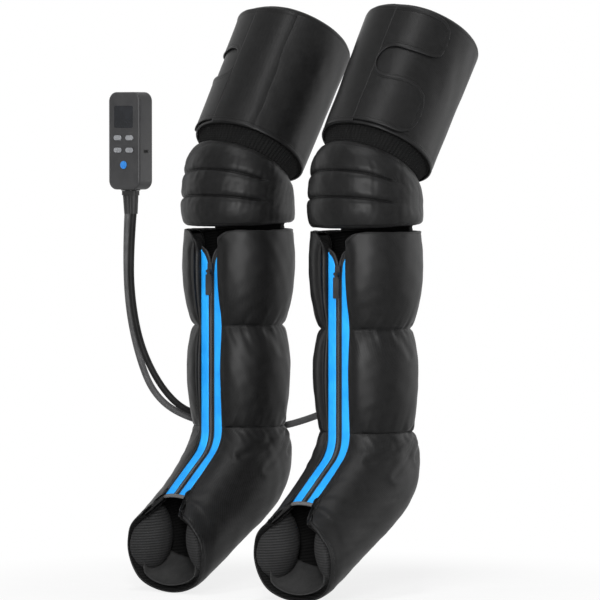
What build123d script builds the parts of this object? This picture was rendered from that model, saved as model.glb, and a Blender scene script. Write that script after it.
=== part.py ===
from build123d import *
import os
from math import cos, sin, tan, radians

# A pair of full-leg air-compression boots with their hand-held pump controller.
# Frame: millimetres, +Z up along the calves, toes towards -Y, +X from the wearer's right
# leg to the left one. The origin is the middle of the right boot's calf rim.

os.makedirs("parts", exist_ok=True)

# ---------------------------------------------------------------- driving dimensions
leg_pitch = 258.0            # middle of one calf to the middle of the other

layer_gap = 0.3              # between soft layers that lie on each other
cover_wall = 3.0             # quilted outer fabric
lining_wall = 2.5            # mesh lining against the leg
leg_bore = 60.0              # inside radius of the calf lining
past_leg = 200.0             # cuts run this far to each side of the leg

calf_length = 312.0          # calf rim down to the ankle pinch
waist_drop = 152.0           # calf rim down to the pinch between the two calf chambers
rim_radius = 86.5
upper_bulge = 89.3           # largest radius of the upper calf chamber
waist_radius = 75.0
lower_bulge = 82.2           # largest radius of the lower calf chamber
ankle_radius = 73.5
seam_margin = 6.0            # welded border between a chamber and its seam

cushion_swell = 54.0         # half sizes of the forefoot side cushions
cushion_half_length = 42.0
cushion_half_height = 64.0
cushion_reach = 79.0         # cushion middle from the boot's middle plane
cushion_y = -141.0
cushion_z = -480.0
cushion_setback = 1.5        # behind the toe opening's rim

slot_half_width = 21.0       # front opening that the zipper closes
slot_corner = 26.0           # rounding of the two flap corners at the calf rim
jamb_wall = 3.0              # flap edge turned inwards beside the zipper
placket_reach = 68.0         # zipper face in front of the calf's middle
placket_wall = 2.5
placket_corner_drop = 29.5   # below the ankle pinch, where the zipper turns over the instep
placket_bend = 52.0          # radius of that turn
instep_slope = 40.0          # degrees below level
zip_end_reach = 155.0        # lower zipper end in front of the calf's middle

bridge_wall = 4.0            # fabric bridge that closes the slot above the toes
bridge_length = 7.0

tape_half_width = 5.7
tape_wall = 1.5
bead_half_width = 2.6        # coil of the closed zipper
bead_height = 1.2
neck_half_width = 1.4        # where the coil meets the tape
neck_height = 0.9
split_drop = 62.0            # calf rim down to where the two tapes part

slider_length = 22.0
slider_width = 9.6
slider_height = 4.0
slider_drop = 63.0           # calf rim down to the slider's middle
slider_lip = 0.4             # lips that hook behind the coil
slider_clearance = 0.25
pull_width = 11.0
pull_length = 38.0
pull_wall = 1.6
eye_half_width = 2.7         # rolled eye at the top of the pull
eye_wall = 1.1
eye_clearance = 0.08
bail_radius = 1.3            # loop on the slider that holds the pull
bail_standoff = 3.0          # loop's middle in front of the slider body
bail_post = 1.4

knee_bore = 62.0             # inside radius of the knee pad
knee_gap = 9.5               # calf rim up to the middle of the knee pad's lower edge
knee_pad_tilt = 32.0         # degrees between the pad's two edges and level, at the top
ridge_groove = 3.5           # depth of the two grooves across the knee
strap_half_angle = 71.0      # the strap behind the knee, each way from straight back
strap_wall = 3.0
strap_radius = 70.0

thigh_tilt = 32.5            # degrees, rest pose
thigh_length = 220.0
thigh_radius = 91.0
thigh_bore = 74.0
thigh_foot_y = 26.7          # middle of the cuff's lower edge
thigh_foot_z = 122.6
thigh_top_rounding = 9.0
gaiter_wall = 2.0
gaiter_foot_radius = 75.0
gaiter_head_radius = 84.0

tab_wall = 2.5
tab_root = 8.0               # degrees from the front towards the outer side of the leg
tab_reach = 68.0             # degrees, tab tip
upper_tab_base = 141.0       # above the cuff's lower edge
upper_tab_top = 214.0
lower_tab_base = 5.0
lower_tab_top = 91.0
tab_corner = 17.0
wrap_start = -42.0           # degrees, where the raised wrap layer begins

hose_diameter = 11.0
hose_grip = 8.0              # length of hose inside each sleeve
hose_fit = 0.1
port_drop = 182.0            # calf rim down to the air port behind the calf
port_flange_radius = 17.0
port_flange_wall = 3.0
port_spigot_radius = 5.0
port_spigot_clearance = 0.3
port_body_radius = 9.5
port_body_length = 14.0
port_sleeve_length = 30.0
port_sleeve_root = 8.0
port_sleeve_tip = 6.3
port_dip = 50.0              # degrees, sleeve below level

case_width = 66.0
case_depth = 35.0
case_height = 158.0
case_wall = 2.2
case_corner = 15.0
case_edge = 4.0
case_x = -236.0              # middle of the controller
case_y = 10.0
case_base = 61.0             # height of its lower end
case_split = -2.0            # front shell meets back shell, from the middle of the depth
shell_fit = 0.15
past_case = 60.0             # cuts run this far from the controller's middle lines
lip_wall = 1.1
lip_height = 2.0

window_width = 40.0
window_height = 36.0
window_z = case_height - 40.0    # heights above the controller's lower end
window_wall = 1.5
window_ledge = 3.0           # seat around the window
button_clearance = 0.15
button_proud = 1.2
button_flange = 1.2          # wider edge behind the front wall
button_rest_gap = 0.2
button_travel = 0.8
round_button = 13.0
pill_length = 16.0
pill_width = 8.0
button_x = 12.5
upper_row_z = window_z - 34.0
lower_row_z = upper_row_z - 20.0
power_z = lower_row_z - 24.0

board_half_width = 21.0
board_front = -10.6          # distances from the middle of the controller's depth
board_wall = 1.6
board_base = power_z - 14.0
board_top = case_height - 15.0
board_post_x = 18.0
board_post_radius = 1.6
switch_height = 2.0
battery_half_width = 25.0
battery_front = -7.5
battery_back = 2.5
works_y = 3.2                # motor, pump and valve axes
motor_radius = 11.0
bearing_height = 0.8         # the motor's lower bearing stands on the pump head
motor_length = 33.0
cradle_half_width = 12.0     # ribs of the back shell that carry battery and pump
cradle_wall = 2.0
head_half_width = 17.0
head_depth = 22.0
head_base = 21.0
head_height = 22.0
motor_base = head_base + head_height + bearing_height
battery_base = motor_base + motor_length + 7.2
rotor_chamber_radius = 10.0
rotor_chamber_base = 26.0
rotor_chamber_height = 12.0
shaft_radius = 1.2
running_fit = 0.08
vane_reach = 9.2
valve_base = 7.5
valve_height = 12.0
valve_half_width = 30.0
coil_x = 24.0
coil_radius = 5.3
coil_height = 24.0
plunger_radius = 2.0
plunger_length = 24.0
plunger_travel = 1.5

hose_spacing = 14.0          # between the two hoses at the controller
socket_half_width = 15.0
socket_half_depth = 6.5
socket_reach = 1.5           # below the controller's lower end
socket_bore_radius = 4.2
plug_height = 7.5
plug_relief_length = 30.0
plug_relief_root = 7.4
plug_relief_tip = 6.4
plug_gap = 0.3

boss_radius = 4.2
screw_radius = 1.5
screw_head_radius = 2.8
screw_head_height = 2.0
screw_length = 24.0
low_boss_x = 26.2
low_boss_z = 50.0
high_boss_x = 20.0
high_boss_z = case_height - 8.7
charge_z = 62.0
charge_half_width = 4.6      # along the depth
charge_half_height = 1.7
charge_depth = 7.5


# ---------------------------------------------------------------- shared helpers
def save(name, shape):
    """Write one node."""
    export_step(shape, f"parts/{name}.step")


def span_box(x0, x1, y0, y1, z0, z1):
    """Box between two corners."""
    size = Box(x1 - x0, y1 - y0, z1 - z0)
    return Pos((x0 + x1) / 2, (y0 + y1) / 2, (z0 + z1) / 2) * size


def on_side(shape, side):
    """A right-boot piece as it is, or its mirror image on the left leg."""
    if side == "right":
        return shape
    return Pos(leg_pitch, 0, 0) * mirror(shape, about=Plane.YZ)


def side_profile(*edges):
    """Face in the YZ plane from edges given there as (0, y, z) points."""
    return make_face(edges)


def across(face, half_width):
    """Prism of a side profile, centred on the leg's middle plane."""
    return extrude(face, amount=half_width, dir=(1, 0, 0), both=True)


# ---------------------------------------------------------------- calf body of revolution
upper_shape = [(0.0, rim_radius), (0.24, upper_bulge), (0.64, upper_bulge - 2.4), (1.0, waist_radius)]
lower_shape = [(0.0, waist_radius), (0.33, lower_bulge), (0.66, lower_bulge - 1.5), (1.0, ankle_radius)]


def chamber_curve(shape, top, bottom, inset):
    """Outline of one calf chamber, moved in by inset."""
    points = [(radius - inset, 0, top + share * (bottom - top)) for share, radius in shape]
    return Spline(*points)


def calf_curves(inset):
    """Both chambers' outlines, from the rim to the ankle."""
    upper = chamber_curve(upper_shape, 0, -waist_drop, inset)
    lower = chamber_curve(lower_shape, -waist_drop, -calf_length, inset)
    return upper, lower


def calf_body(inset):
    """Solid inside the calf outline."""
    upper, lower = calf_curves(inset)
    top = Line((0, 0, 0), upper @ 0)
    foot = Line(lower @ 1, (0, 0, -calf_length))
    axis = Line((0, 0, -calf_length), (0, 0, 0))
    return revolve(make_face([upper, lower, top, foot, axis]), axis=Axis.Z)


# ---------------------------------------------------------------- foot loft
# Each station: instep point (y, z), sole point (y, z) and half width; z from the ankle pinch.
foot_stations = [
    ((-77, -15), (81, -21), 74.5),
    ((-86, -31), (84, -54), 77.5),
    ((-100, -47), (75, -90), 80),
    ((-120, -67), (50, -124), 81),
    ((-140, -85), (12, -152), 81),
    ((-151, -94), (-34, -180), 80),
    ((-158, -101), (-88, -212), 80),
    ((-162, -104), (-136, -241), 80),
    ((-165, -107), (-165, -256), 79),
    ((-192, -125), (-198, -253), 76),
]
shoulder = 0.72              # section corners above the middle, share of the half sizes
heel_corner = 0.75           # and below it, where the sole is flatter


def foot_section(instep, sole, half_width, inset):
    """Closed section of the foot between an instep point and a sole point."""
    rise = Vector(0, instep[0] - sole[0], instep[1] - sole[1])
    half_height = rise.length / 2 - inset
    half_width = half_width - inset
    middle = (0, (instep[0] + sole[0]) / 2, (instep[1] + sole[1]) / 2 - calf_length)
    plane = Plane(origin=middle, x_dir=(1, 0, 0), z_dir=(0, -rise.Z, rise.Y))
    outline = Spline(
        (0, half_height),
        (-shoulder * half_width, shoulder * half_height),
        (-half_width, 0),
        (-heel_corner * half_width, -heel_corner * half_height),
        (0, -half_height),
        (heel_corner * half_width, -heel_corner * half_height),
        (half_width, 0),
        (shoulder * half_width, shoulder * half_height),
        periodic=True,
    )
    return plane * make_face(outline)


def foot_body(inset):
    """Solid inside the foot outline, from the ankle pinch past the toe opening."""
    ankle = foot_section((-ankle_radius, 0), (ankle_radius, 0), ankle_radius, inset)
    return loft([ankle] + [foot_section(*station, inset) for station in foot_stations])


# Toe opening's rim seen from the side: distance in front of the calf, drop below the ankle.
toe_rim = [
    (-161, -108),
    (-177, -118),
    (-188, -131),
    (-190, -148),
    (-184, -170),
    (-181, -193),
    (-172, -239),
    (-160, -273),
]


toe_notch_top = 60.0         # the opening's upper corners are cut straight up to this drop


def toe_space(setback):
    """Everything in front of the toe opening's rim, moved back by setback."""
    rim = Spline(*[(0, y + setback, z - calf_length) for y, z in toe_rim])
    lowest = toe_rim[-1][1] - calf_length
    highest = -calf_length - toe_notch_top
    notch = (0, toe_rim[0][0] + setback, highest)
    front = Polyline(rim @ 1, (0, -400, lowest), (0, -400, highest), notch, rim @ 0)
    return across(side_profile(rim, front), past_leg) + toe_flare(setback)


def toe_flare(setback):
    """Gap below the zipper's bridge, which spreads towards the toe opening."""
    half = [(width + setback, setback - reach) for reach, width in flare_shape]
    outline = Polyline(*half, *[(-x, y) for x, y in reversed(half)], close=True)
    outward = (0, -sin(radians(instep_slope)), cos(radians(instep_slope)))
    plane = Plane(origin=(0, -zip_end_reach, zip_end_z), x_dir=(1, 0, 0), z_dir=outward)
    return extrude(plane.offset(-opening_depth) * make_face(outline), amount=80)


# ---------------------------------------------------------------- zipper line
# Distance past the zipper's lower end and half width of the gap there.
flare_shape = [
    (bridge_length, slot_half_width),
    (28.0, 28.0),
    (44.0, 37.0),
    (90.0, 37.0),
]
opening_depth = 20.0         # the inner layers are open this far behind the zipper face
corner_z = -calf_length - placket_corner_drop
slope_y = -cos(radians(instep_slope))
slope_z = -sin(radians(instep_slope))
zip_end_z = corner_z - (zip_end_reach - placket_reach) * tan(radians(instep_slope))


def zip_front(depth, half_width, top=20.0):
    """Everything in front of the zipper face, once that is moved back by depth."""
    bevel = tan(radians((90 - instep_slope) / 2))
    head = (0, -placket_reach + depth, top)
    corner = (0, -placket_reach + depth, corner_z - depth * bevel)
    far = 160.0
    tail = (0, corner[1] + far * slope_y, corner[2] + far * slope_z)
    line = FilletPolyline(head, corner, tail, radius=placket_bend + depth)
    back = Polyline(line @ 1, (0, -400, tail[2]), (0, -400, top), line @ 0)
    return across(side_profile(line, back), half_width)


def past_zip_end(extra=0.0):
    """Space beyond the zipper's lower end, measured along the instep."""
    y = -zip_end_reach - extra * cos(radians(instep_slope))
    z = zip_end_z - extra * sin(radians(instep_slope))
    return Pos(0, y, z) * Rot(instep_slope, 0, 0) * span_box(-60, 60, -400, 0, -200, 200)


def split_opening(margin):
    """Trumpet-shaped gap between the two parted tapes at the calf rim."""
    side = Spline(
        (margin, 0, -split_drop - margin),
        (4.5 + margin, 0, -split_drop + 21 - 0.7 * margin),
        (12.6 + 0.7 * margin, 0, -split_drop + 32.5 - margin),
        (slot_half_width + 3, 0, -split_drop + 38.5 - margin),
    )
    top = 20.0
    rest = Polyline(side @ 1, (slot_half_width + 3, 0, top), (0, 0, top), (0, 0, -split_drop - margin))
    edges = [side, rest]
    if margin > 0:
        edges.append(Line((0, 0, -split_drop - margin), side @ 0))
    half = extrude(make_face(edges), amount=120, dir=(0, -1, 0), both=True)
    return half + mirror(half, about=Plane.YZ)


def front_slot(half_width, depth):
    """Front opening through the soft layers, with its rounded flap corners."""
    slot = zip_front(depth, half_width)
    flare = half_width + slot_corner
    for sense in (-1, 1):
        corner = span_box(0, flare, -120, 0, -slot_corner, 20)
        round_part = Pos(flare, -60, -slot_corner) * Rot(90, 0, 0) * Cylinder(slot_corner, 200)
        cut = corner - round_part
        slot = slot + (cut if sense > 0 else mirror(cut, about=Plane.YZ))
    return slot


# ---------------------------------------------------------------- boot: soft layers
foot_bore_inset = ankle_radius - leg_bore
lining_inset = foot_bore_inset - lining_wall
jamb_depth = 6.0             # the turned-in flap edges reach this far behind the zipper face
inner_half_width = slot_half_width + jamb_wall + layer_gap
lower_slot = zip_front(opening_depth, inner_half_width)
port_reach = lower_bulge + port_flange_wall + port_body_length / 2


def flap_edges(body):
    """Turned-in edges on both sides of the front slot."""
    both = body & zip_front(jamb_depth, slot_half_width + jamb_wall)
    return both - front_slot(slot_half_width, jamb_depth)


def port_hole():
    """Hole for the air port's spigot, straight back through the calf."""
    drill = Cylinder(port_spigot_radius + port_spigot_clearance, 60)
    return Pos(0, lower_bulge, -port_drop) * Rot(90, 0, 0) * drill


def make_calf_cover():
    shell = calf_body(0) - calf_body(cover_wall)
    shell = shell - front_slot(slot_half_width, jamb_depth) - port_hole()
    return shell + flap_edges(calf_body(0))


def make_calf_lining():
    outer = Cylinder(leg_bore + lining_wall, calf_length)
    tube = Pos(0, 0, -calf_length / 2) * (outer - Cylinder(leg_bore, calf_length))
    return tube - zip_front(opening_depth, inner_half_width)


def make_calf_bladder(top, bottom):
    """Air chamber between the cover and the lining, from top down to bottom."""
    ring = calf_body(cover_wall + layer_gap) & span_box(-120, 120, -120, 120, bottom, top)
    ring = ring - Cylinder(leg_bore + lining_wall + layer_gap, 3 * calf_length)
    return ring - front_slot(inner_half_width, opening_depth) - port_hole()


def make_foot_cover():
    shell = foot_body(0) - foot_body(cover_wall) - zip_front(jamb_depth, slot_half_width)
    bridge = foot_body(0) & zip_strip(0, bridge_wall, slot_half_width + 1) & past_zip_end(layer_gap)
    bridge = bridge - past_zip_end(bridge_length)
    return shell + flap_edges(foot_body(0)) + bridge - toe_space(0)


def make_foot_lining():
    """Mesh lining with the two inflated side cushions that it covers."""
    tube = foot_body(lining_inset) - foot_body(foot_bore_inset)
    cushion = scale(Sphere(1.0), by=(cushion_swell, cushion_half_length, cushion_half_height))
    side = cushion_reach
    pair = Pos(side, cushion_y, cushion_z) * cushion + Pos(-side, cushion_y, cushion_z) * cushion
    pads = (foot_body(lining_inset + 0.5) & pair) - toe_space(cushion_setback)
    return tube - lower_slot - toe_space(1.0) + pads


def make_foot_bladder():
    ring = foot_body(cover_wall + layer_gap) - foot_body(lining_inset - layer_gap)
    ring = ring - lower_slot - toe_space(2 * seam_margin)
    return ring & span_box(-200, 200, -400, 200, -700, -calf_length - seam_margin)


# ---------------------------------------------------------------- boot: zipper
def zip_strip(front, back, half_width):
    """Strip that follows the zipper line between two depths."""
    return zip_front(back, half_width) - zip_front(front, half_width + 1)


tape_front = 0.5             # tapes lie this far behind the blue placket's face


def make_zip_placket():
    """Two coloured strips beside the zipper."""
    plate = zip_strip(0, placket_wall, slot_half_width - layer_gap)
    tape_room = zip_strip(-1, placket_wall + 1, tape_half_width + layer_gap)
    return plate - tape_room - split_opening(tape_half_width + layer_gap) - past_zip_end()


def make_zip_tape():
    """Both tapes, parted at the calf rim, with the closed coil along their middle."""
    plate = zip_strip(tape_front, tape_front + tape_wall, slot_half_width - layer_gap)
    middle = span_box(-tape_half_width, tape_half_width, -400, 0, -700, 0)
    tapes = plate & (middle + split_opening(tape_half_width))
    tapes = tapes - split_opening(0)
    neck = zip_strip(tape_front - neck_height, tape_front, neck_half_width)
    bead = zip_strip(tape_front - neck_height - bead_height, tape_front - neck_height, bead_half_width)
    coil = (neck + bead) & span_box(-10, 10, -400, 0, -700, -split_drop - 6)
    return tapes + coil - past_zip_end()


tape_face_y = -placket_reach + tape_front
slider_back_y = tape_face_y - slider_clearance
slider_front_y = slider_back_y - slider_height
bail_y = slider_front_y - bail_standoff
bail_z = -slider_drop - 2.0


def make_zip_slider():
    half = slider_length / 2
    middle_y = (slider_front_y + slider_back_y) / 2
    body = Pos(0, middle_y, -slider_drop) * Box(slider_width, slider_height, slider_length)
    body = fillet(body.edges().filter_by(Axis.Y), slider_width * 0.3)
    throat_front = tape_face_y - neck_height - bead_height - slider_clearance
    throat_back = slider_back_y - slider_lip
    throat = bead_half_width + slider_clearance
    body = body - span_box(-throat, throat, throat_front, throat_back, -slider_drop - half, -slider_drop + half)
    mouth = neck_half_width + slider_clearance
    body = body - span_box(-mouth, mouth, throat_back, slider_back_y, -slider_drop - half, -slider_drop + half)
    post_x = eye_half_width + slider_clearance
    post = span_box(post_x, post_x + bail_post, bail_y - bail_radius, slider_front_y, bail_z - 1.9, bail_z + 1.9)
    bar = Pos(0, bail_y, bail_z) * Rot(0, 90, 0) * Cylinder(bail_radius, 2 * post_x + 1)
    return body + post + mirror(post, about=Plane.YZ) + bar


def make_zip_pull():
    """Flat tab hanging from the slider's loop by a rolled eye."""
    bore = bail_radius + eye_clearance
    barrel = Cylinder(bore + eye_wall, 2 * eye_half_width)
    eye = Pos(0, bail_y, bail_z) * Rot(0, 90, 0) * barrel
    neck = span_box(
        -eye_half_width, eye_half_width, bail_y - pull_wall / 2, bail_y + pull_wall / 2,
        bail_z - bore - 5, bail_z - bore,
    )
    top = bail_z - bore - 4
    plate = span_box(
        -pull_width / 2, pull_width / 2, bail_y - pull_wall / 2, bail_y + pull_wall / 2,
        bail_z - pull_length, top,
    )
    plate = fillet(plate.edges().filter_by(Axis.Y), 1.8)
    hole = Pos(0, bail_y, bail_z) * Rot(0, 90, 0) * Cylinder(bore, 4 * eye_half_width)
    return eye + neck + plate - hole


# ---------------------------------------------------------------- knee
def tilted_plane(y, z, tilt):
    """Plane across the leg; its normal leans back by tilt degrees."""
    return Plane(origin=(0, y, z), x_dir=(1, 0, 0), z_dir=(0, sin(radians(tilt)), cos(radians(tilt))))


def knee_section(y, z, tilt, front, back):
    """Oval across the knee with separate front and back radii."""
    oval = Pos(0, (back - front) / 2) * Ellipse((front + back) / 2, (front + back) / 2)
    return tilted_plane(y, z, tilt) * oval


knee_crown = 89.3            # radius over the knee's ridges
knee_head_y = 8.0            # middle of the pad's upper edge
knee_head_z = 100.0
knee_hem_radius = 78.0
knee_low_tilt = -3.0
knee_grooves = [(-1.0, 40.0, 10.0), (1.0, 67.6, 19.5)]


def make_knee_pad():
    """Padded knee wrap with three ridges across its front."""
    groove = [
        knee_section(y, z, tilt, knee_crown - ridge_groove, knee_crown - 1.2)
        for y, z, tilt in knee_grooves
    ]
    low = [
        knee_section(0, knee_gap, knee_low_tilt, knee_hem_radius, knee_hem_radius),
        knee_section(0, knee_gap + 4.5, knee_low_tilt + 1.5, knee_crown - 3, knee_crown - 3),
        knee_section(-2, knee_gap + 16.5, 4, knee_crown, knee_crown),
        groove[0],
    ]
    middle = [groove[0], knee_section(-1, 53.5, 14.5, knee_crown, knee_crown - 0.8), groove[1]]
    high = [
        groove[1],
        knee_section(3, 84, 25.5, knee_crown - 1.6, knee_crown - 3),
        knee_section(6.5, 95.5, 30.5, knee_crown - 6.8, knee_crown - 8.8),
        knee_section(knee_head_y, knee_head_z, knee_pad_tilt, knee_hem_radius - 2, knee_hem_radius - 2),
    ]
    bore = [
        knee_section(0, knee_gap, knee_low_tilt, knee_bore, knee_bore),
        knee_section(-1, 40, 10, knee_bore + 2, knee_bore + 2),
        knee_section(1, 67.6, 19.5, knee_bore + 2, knee_bore + 2),
        knee_section(knee_head_y, knee_head_z, knee_pad_tilt, knee_bore, knee_bore),
    ]
    return loft(low) + loft(middle) + loft(high) - loft(bore)


def arc_wall(inner, outer, start, end, base, top):
    """Curved wall; angles run from the front towards the outer side of the right leg."""
    def at(radius, angle):
        return (-radius * sin(radians(angle)), -radius * cos(radians(angle)), base)
    middle = (start + end) / 2
    edges = [
        ThreePointArc(at(outer, start), at(outer, middle), at(outer, end)),
        Line(at(outer, end), at(inner, end)),
        ThreePointArc(at(inner, end), at(inner, middle), at(inner, start)),
        Line(at(inner, start), at(outer, start)),
    ]
    return extrude(make_face(edges), amount=top - base, dir=(0, 0, 1))


def make_knee_strap():
    """Fabric strap behind the knee that joins the calf boot to the knee pad."""
    base = -seam_margin + layer_gap
    wall = arc_wall(
        strap_radius, strap_radius + strap_wall,
        180 - strap_half_angle, 180 + strap_half_angle, base, 60,
    )
    above = tilted_plane(0, knee_gap - layer_gap, knee_low_tilt) * Pos(0, 0, 100) * Box(400, 400, 200)
    return wall - above


def gaiter_cone(foot_radius, head_radius):
    """Ribbed stretch band between the knee pad and the thigh cuff, as a solid cone."""
    foot = tilted_plane(knee_head_y, knee_head_z, knee_pad_tilt).offset(layer_gap) * Circle(foot_radius)
    head = tilted_plane(thigh_foot_y, thigh_foot_z, thigh_tilt).offset(-layer_gap) * Circle(head_radius)
    return loft([foot, head])


def make_knee_gaiter():
    outer = gaiter_cone(gaiter_foot_radius, gaiter_head_radius)
    return outer - gaiter_cone(gaiter_foot_radius - gaiter_wall, gaiter_head_radius - gaiter_wall)


# ---------------------------------------------------------------- thigh cuff
def on_thigh(shape):
    """Cuff pieces are drawn upright and then leaned back onto the thigh."""
    return Pos(0, thigh_foot_y, thigh_foot_z) * Rot(-thigh_tilt, 0, 0) * shape


def rounded_drum(radius, height, rounding):
    """Upright cylinder with its upper edge rounded."""
    drum = Pos(0, 0, height / 2) * Cylinder(radius, height)
    return fillet(drum.edges().sort_by(Axis.Z)[-1:], rounding)


def make_thigh_cuff():
    outer = rounded_drum(thigh_radius, thigh_length, thigh_top_rounding)
    inner = rounded_drum(
        thigh_radius - cover_wall, thigh_length - cover_wall, thigh_top_rounding - cover_wall
    )
    mouth = Cylinder(thigh_radius - thigh_top_rounding - 2, 4 * thigh_length)
    wrap = arc_wall(
        thigh_radius - 1, thigh_radius + tab_wall + layer_gap, wrap_start, tab_root - layer_gap,
        0, upper_tab_top,
    )
    return outer - inner - mouth + wrap


def make_thigh_bladder():
    """Thigh air chamber with its lining."""
    gap = cover_wall + layer_gap
    drum = rounded_drum(thigh_radius - gap, thigh_length - gap, thigh_top_rounding - cover_wall)
    return drum - Cylinder(thigh_bore, 4 * thigh_length)


def make_tab(base, top):
    """Hook-and-loop tongue that closes the cuff over its outer side."""
    inner = thigh_radius + layer_gap
    tab = arc_wall(inner, inner + tab_wall, tab_root, tab_reach, base, top)
    radial = tab.edges().filter_by(lambda edge: abs(edge.length - tab_wall) < 0.01)
    return fillet(radial.sort_by(Axis.X)[:2], tab_corner)


# ---------------------------------------------------------------- air port and hoses
sleeve_x = -cos(radians(port_dip))
sleeve_z = -sin(radians(port_dip))


def make_hose_port():
    """Elbow behind the calf with a tapered sleeve that grips the hose."""
    y_wise = Rot(90, 0, 0)
    flange_depth = 12.0
    flange = Cylinder(port_flange_radius, flange_depth)
    flange = Pos(0, lower_bulge + port_flange_wall - flange_depth / 2, -port_drop) * y_wise * flange
    flange = flange - calf_body(-0.1)
    spigot_length = 16.0
    spigot = Cylinder(port_spigot_radius, spigot_length)
    spigot = Pos(0, lower_bulge + 2 - spigot_length / 2, -port_drop) * y_wise * spigot
    body = Cylinder(port_body_radius, port_body_length)
    body = Pos(0, lower_bulge + port_flange_wall + port_body_length / 2, -port_drop) * y_wise * body
    body = fillet(body.edges().sort_by(Axis.Y)[-1:], 3)
    sleeve = sleeved_cone(port_sleeve_root, port_sleeve_tip, port_sleeve_length)
    return flange + spigot + body + port_heading * sleeve


port_heading = Plane(
    origin=(0, port_reach, -port_drop), x_dir=(0, 1, 0), z_dir=(sleeve_x, 0, sleeve_z)
)


def sleeved_cone(root, tip, length):
    """Tapered sleeve along +Z with a seat for the hose in its tip."""
    cone = Cone(root, tip, length, align=(Align.CENTER, Align.CENTER, Align.MIN))
    seat = Cylinder(hose_diameter / 2 + hose_fit, hose_grip + hose_fit)
    return cone - Pos(0, 0, length - (hose_grip + hose_fit) / 2) * seat


def on_port_axis(leg_x, reach):
    """Point on the sleeve's axis, measured from the middle of the elbow."""
    return (leg_x + sleeve_x * reach, port_reach, -port_drop + sleeve_z * reach)


# Corners of each hose's route between its two ends.
left_route = [
    (-241.5, 13.5, -31.1),
    (-236.1, 15.8, -125.3),
    (-222.9, 25.3, -205.2),
    (-201.0, 37.5, -267.1),
    (-159.2, 58.8, -300.0),
    (-81.1, 92.3, -320.5),
    (-8.3, 107.5, -322.6),
    (76.2, 109.3, -299.7),
    (145.6, 100.6, -270.8),
]
right_route = [
    (-227.9, 7.1, -52.4),
    (-221.9, 11.9, -132.8),
    (-209.5, 21.6, -200.2),
    (-181.0, 37.1, -258.7),
    (-143.9, 47.3, -292.3),
    (-102.3, 62.9, -298.0),
    (-66.1, 80.0, -278.2),
]
plug_floor = case_base - socket_reach - plug_gap - plug_height


def relief_axis(side):
    """Start point and direction of a hose where it leaves the plug."""
    sense = -1 if side == "left" else 1
    root = Vector(case_x + sense * hose_spacing / 2, case_y, plug_floor)
    first = left_route[0] if side == "left" else right_route[0]
    return root, (Vector(*first) - root).normalized()


def hose_points(side):
    """All corners of one hose, from the controller to the boot."""
    root, heading = relief_axis(side)
    start = root + heading * (plug_relief_length - hose_grip)
    leg_x = leg_pitch if side == "left" else 0.0
    route = left_route if side == "left" else right_route
    last_run = 42.0 if side == "left" else 40.0
    before = on_port_axis(leg_x, port_sleeve_length + last_run)
    end = on_port_axis(leg_x, port_sleeve_length - hose_grip)
    return [start] + [Vector(*point) for point in route] + [Vector(*before), Vector(*end)]


def corner_radii(points):
    """Bend radius at each inner corner, from the shorter run beside it."""
    radii = []
    for before, corner, after in zip(points, points[1:], points[2:]):
        run_in = corner - before
        run_out = after - corner
        half_turn = radians(run_in.get_angle(run_out)) / 2
        radii.append(0.45 * min(run_in.length, run_out.length) / tan(half_turn))
    return radii


def make_hose(side):
    """Air hose: straight runs joined by tangent arcs."""
    points = hose_points(side)
    radii = corner_radii(points)
    path = FilletPolyline(*points, radius=radii)
    print(side, "hose bends", [round(value) for value in radii], "length", round(path.length, 1))
    section = Plane(origin=path @ 0, z_dir=path % 0) * Circle(hose_diameter / 2)
    return sweep(section, path=path)


# ---------------------------------------------------------------- controller
# Local frame: middle of the width and depth, height from the lower end; the front faces -Y.
front_y = -case_depth / 2
inner_front_y = front_y + case_wall
inner_back_y = case_depth / 2 - case_wall


def in_case(shape):
    """Move a controller piece from its local frame to its place."""
    return Pos(case_x, case_y, case_base) * shape


def slab_at(outline, x, z, start, end):
    """Solid of a flat outline at (x, z), between two distances from the middle of the depth."""
    plane = Plane(origin=(x, start, z), x_dir=(1, 0, 0), z_dir=(0, 1, 0))
    return extrude(plane * outline, amount=end - start)


def case_block(inset):
    """Rounded block of the controller, moved in by inset."""
    outline = RectangleRounded(case_width - 2 * inset, case_height - 2 * inset, case_corner - inset)
    back = case_depth / 2 - inset
    block = slab_at(outline, 0, case_height / 2, -back, back)
    rims = block.faces().sort_by(Axis.Y)[0].edges() + block.faces().sort_by(Axis.Y)[-1].edges()
    return fillet(rims, max(case_edge - inset, 1.0))


boss_places = [
    (-low_boss_x, low_boss_z),
    (low_boss_x, low_boss_z),
    (-high_boss_x, high_boss_z),
    (high_boss_x, high_boss_z),
]
button_places = {
    "power_button": (0.0, power_z),
    "minus_button": (-button_x, lower_row_z),
    "plus_button": (button_x, lower_row_z),
    "mode_button": (-button_x, upper_row_z),
    "heat_button": (button_x, upper_row_z),
}


def button_outline(name, grow):
    if name == "power_button":
        return Circle(round_button / 2 + grow)
    return SlotOverall(pill_length + 2 * grow, pill_width + 2 * grow)


def case_openings():
    """Holes for the hose socket and the charging socket."""
    socket_hole = span_box(
        -socket_half_width - shell_fit, socket_half_width + shell_fit,
        -socket_half_depth - shell_fit, socket_half_depth + shell_fit, -5, case_wall + 1,
    )
    flange_room = span_box(-17.4, 17.4, -8.9, 8.9, case_wall, case_wall + 4)
    charge_hole = span_box(
        case_width / 2 - 6, case_width / 2 + 5,
        -charge_half_width - 1 - shell_fit, charge_half_width + 1 + shell_fit,
        charge_z - charge_half_height - 1 - shell_fit, charge_z + charge_half_height + 1 + shell_fit,
    )
    return socket_hole + flange_room + charge_hole


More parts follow.
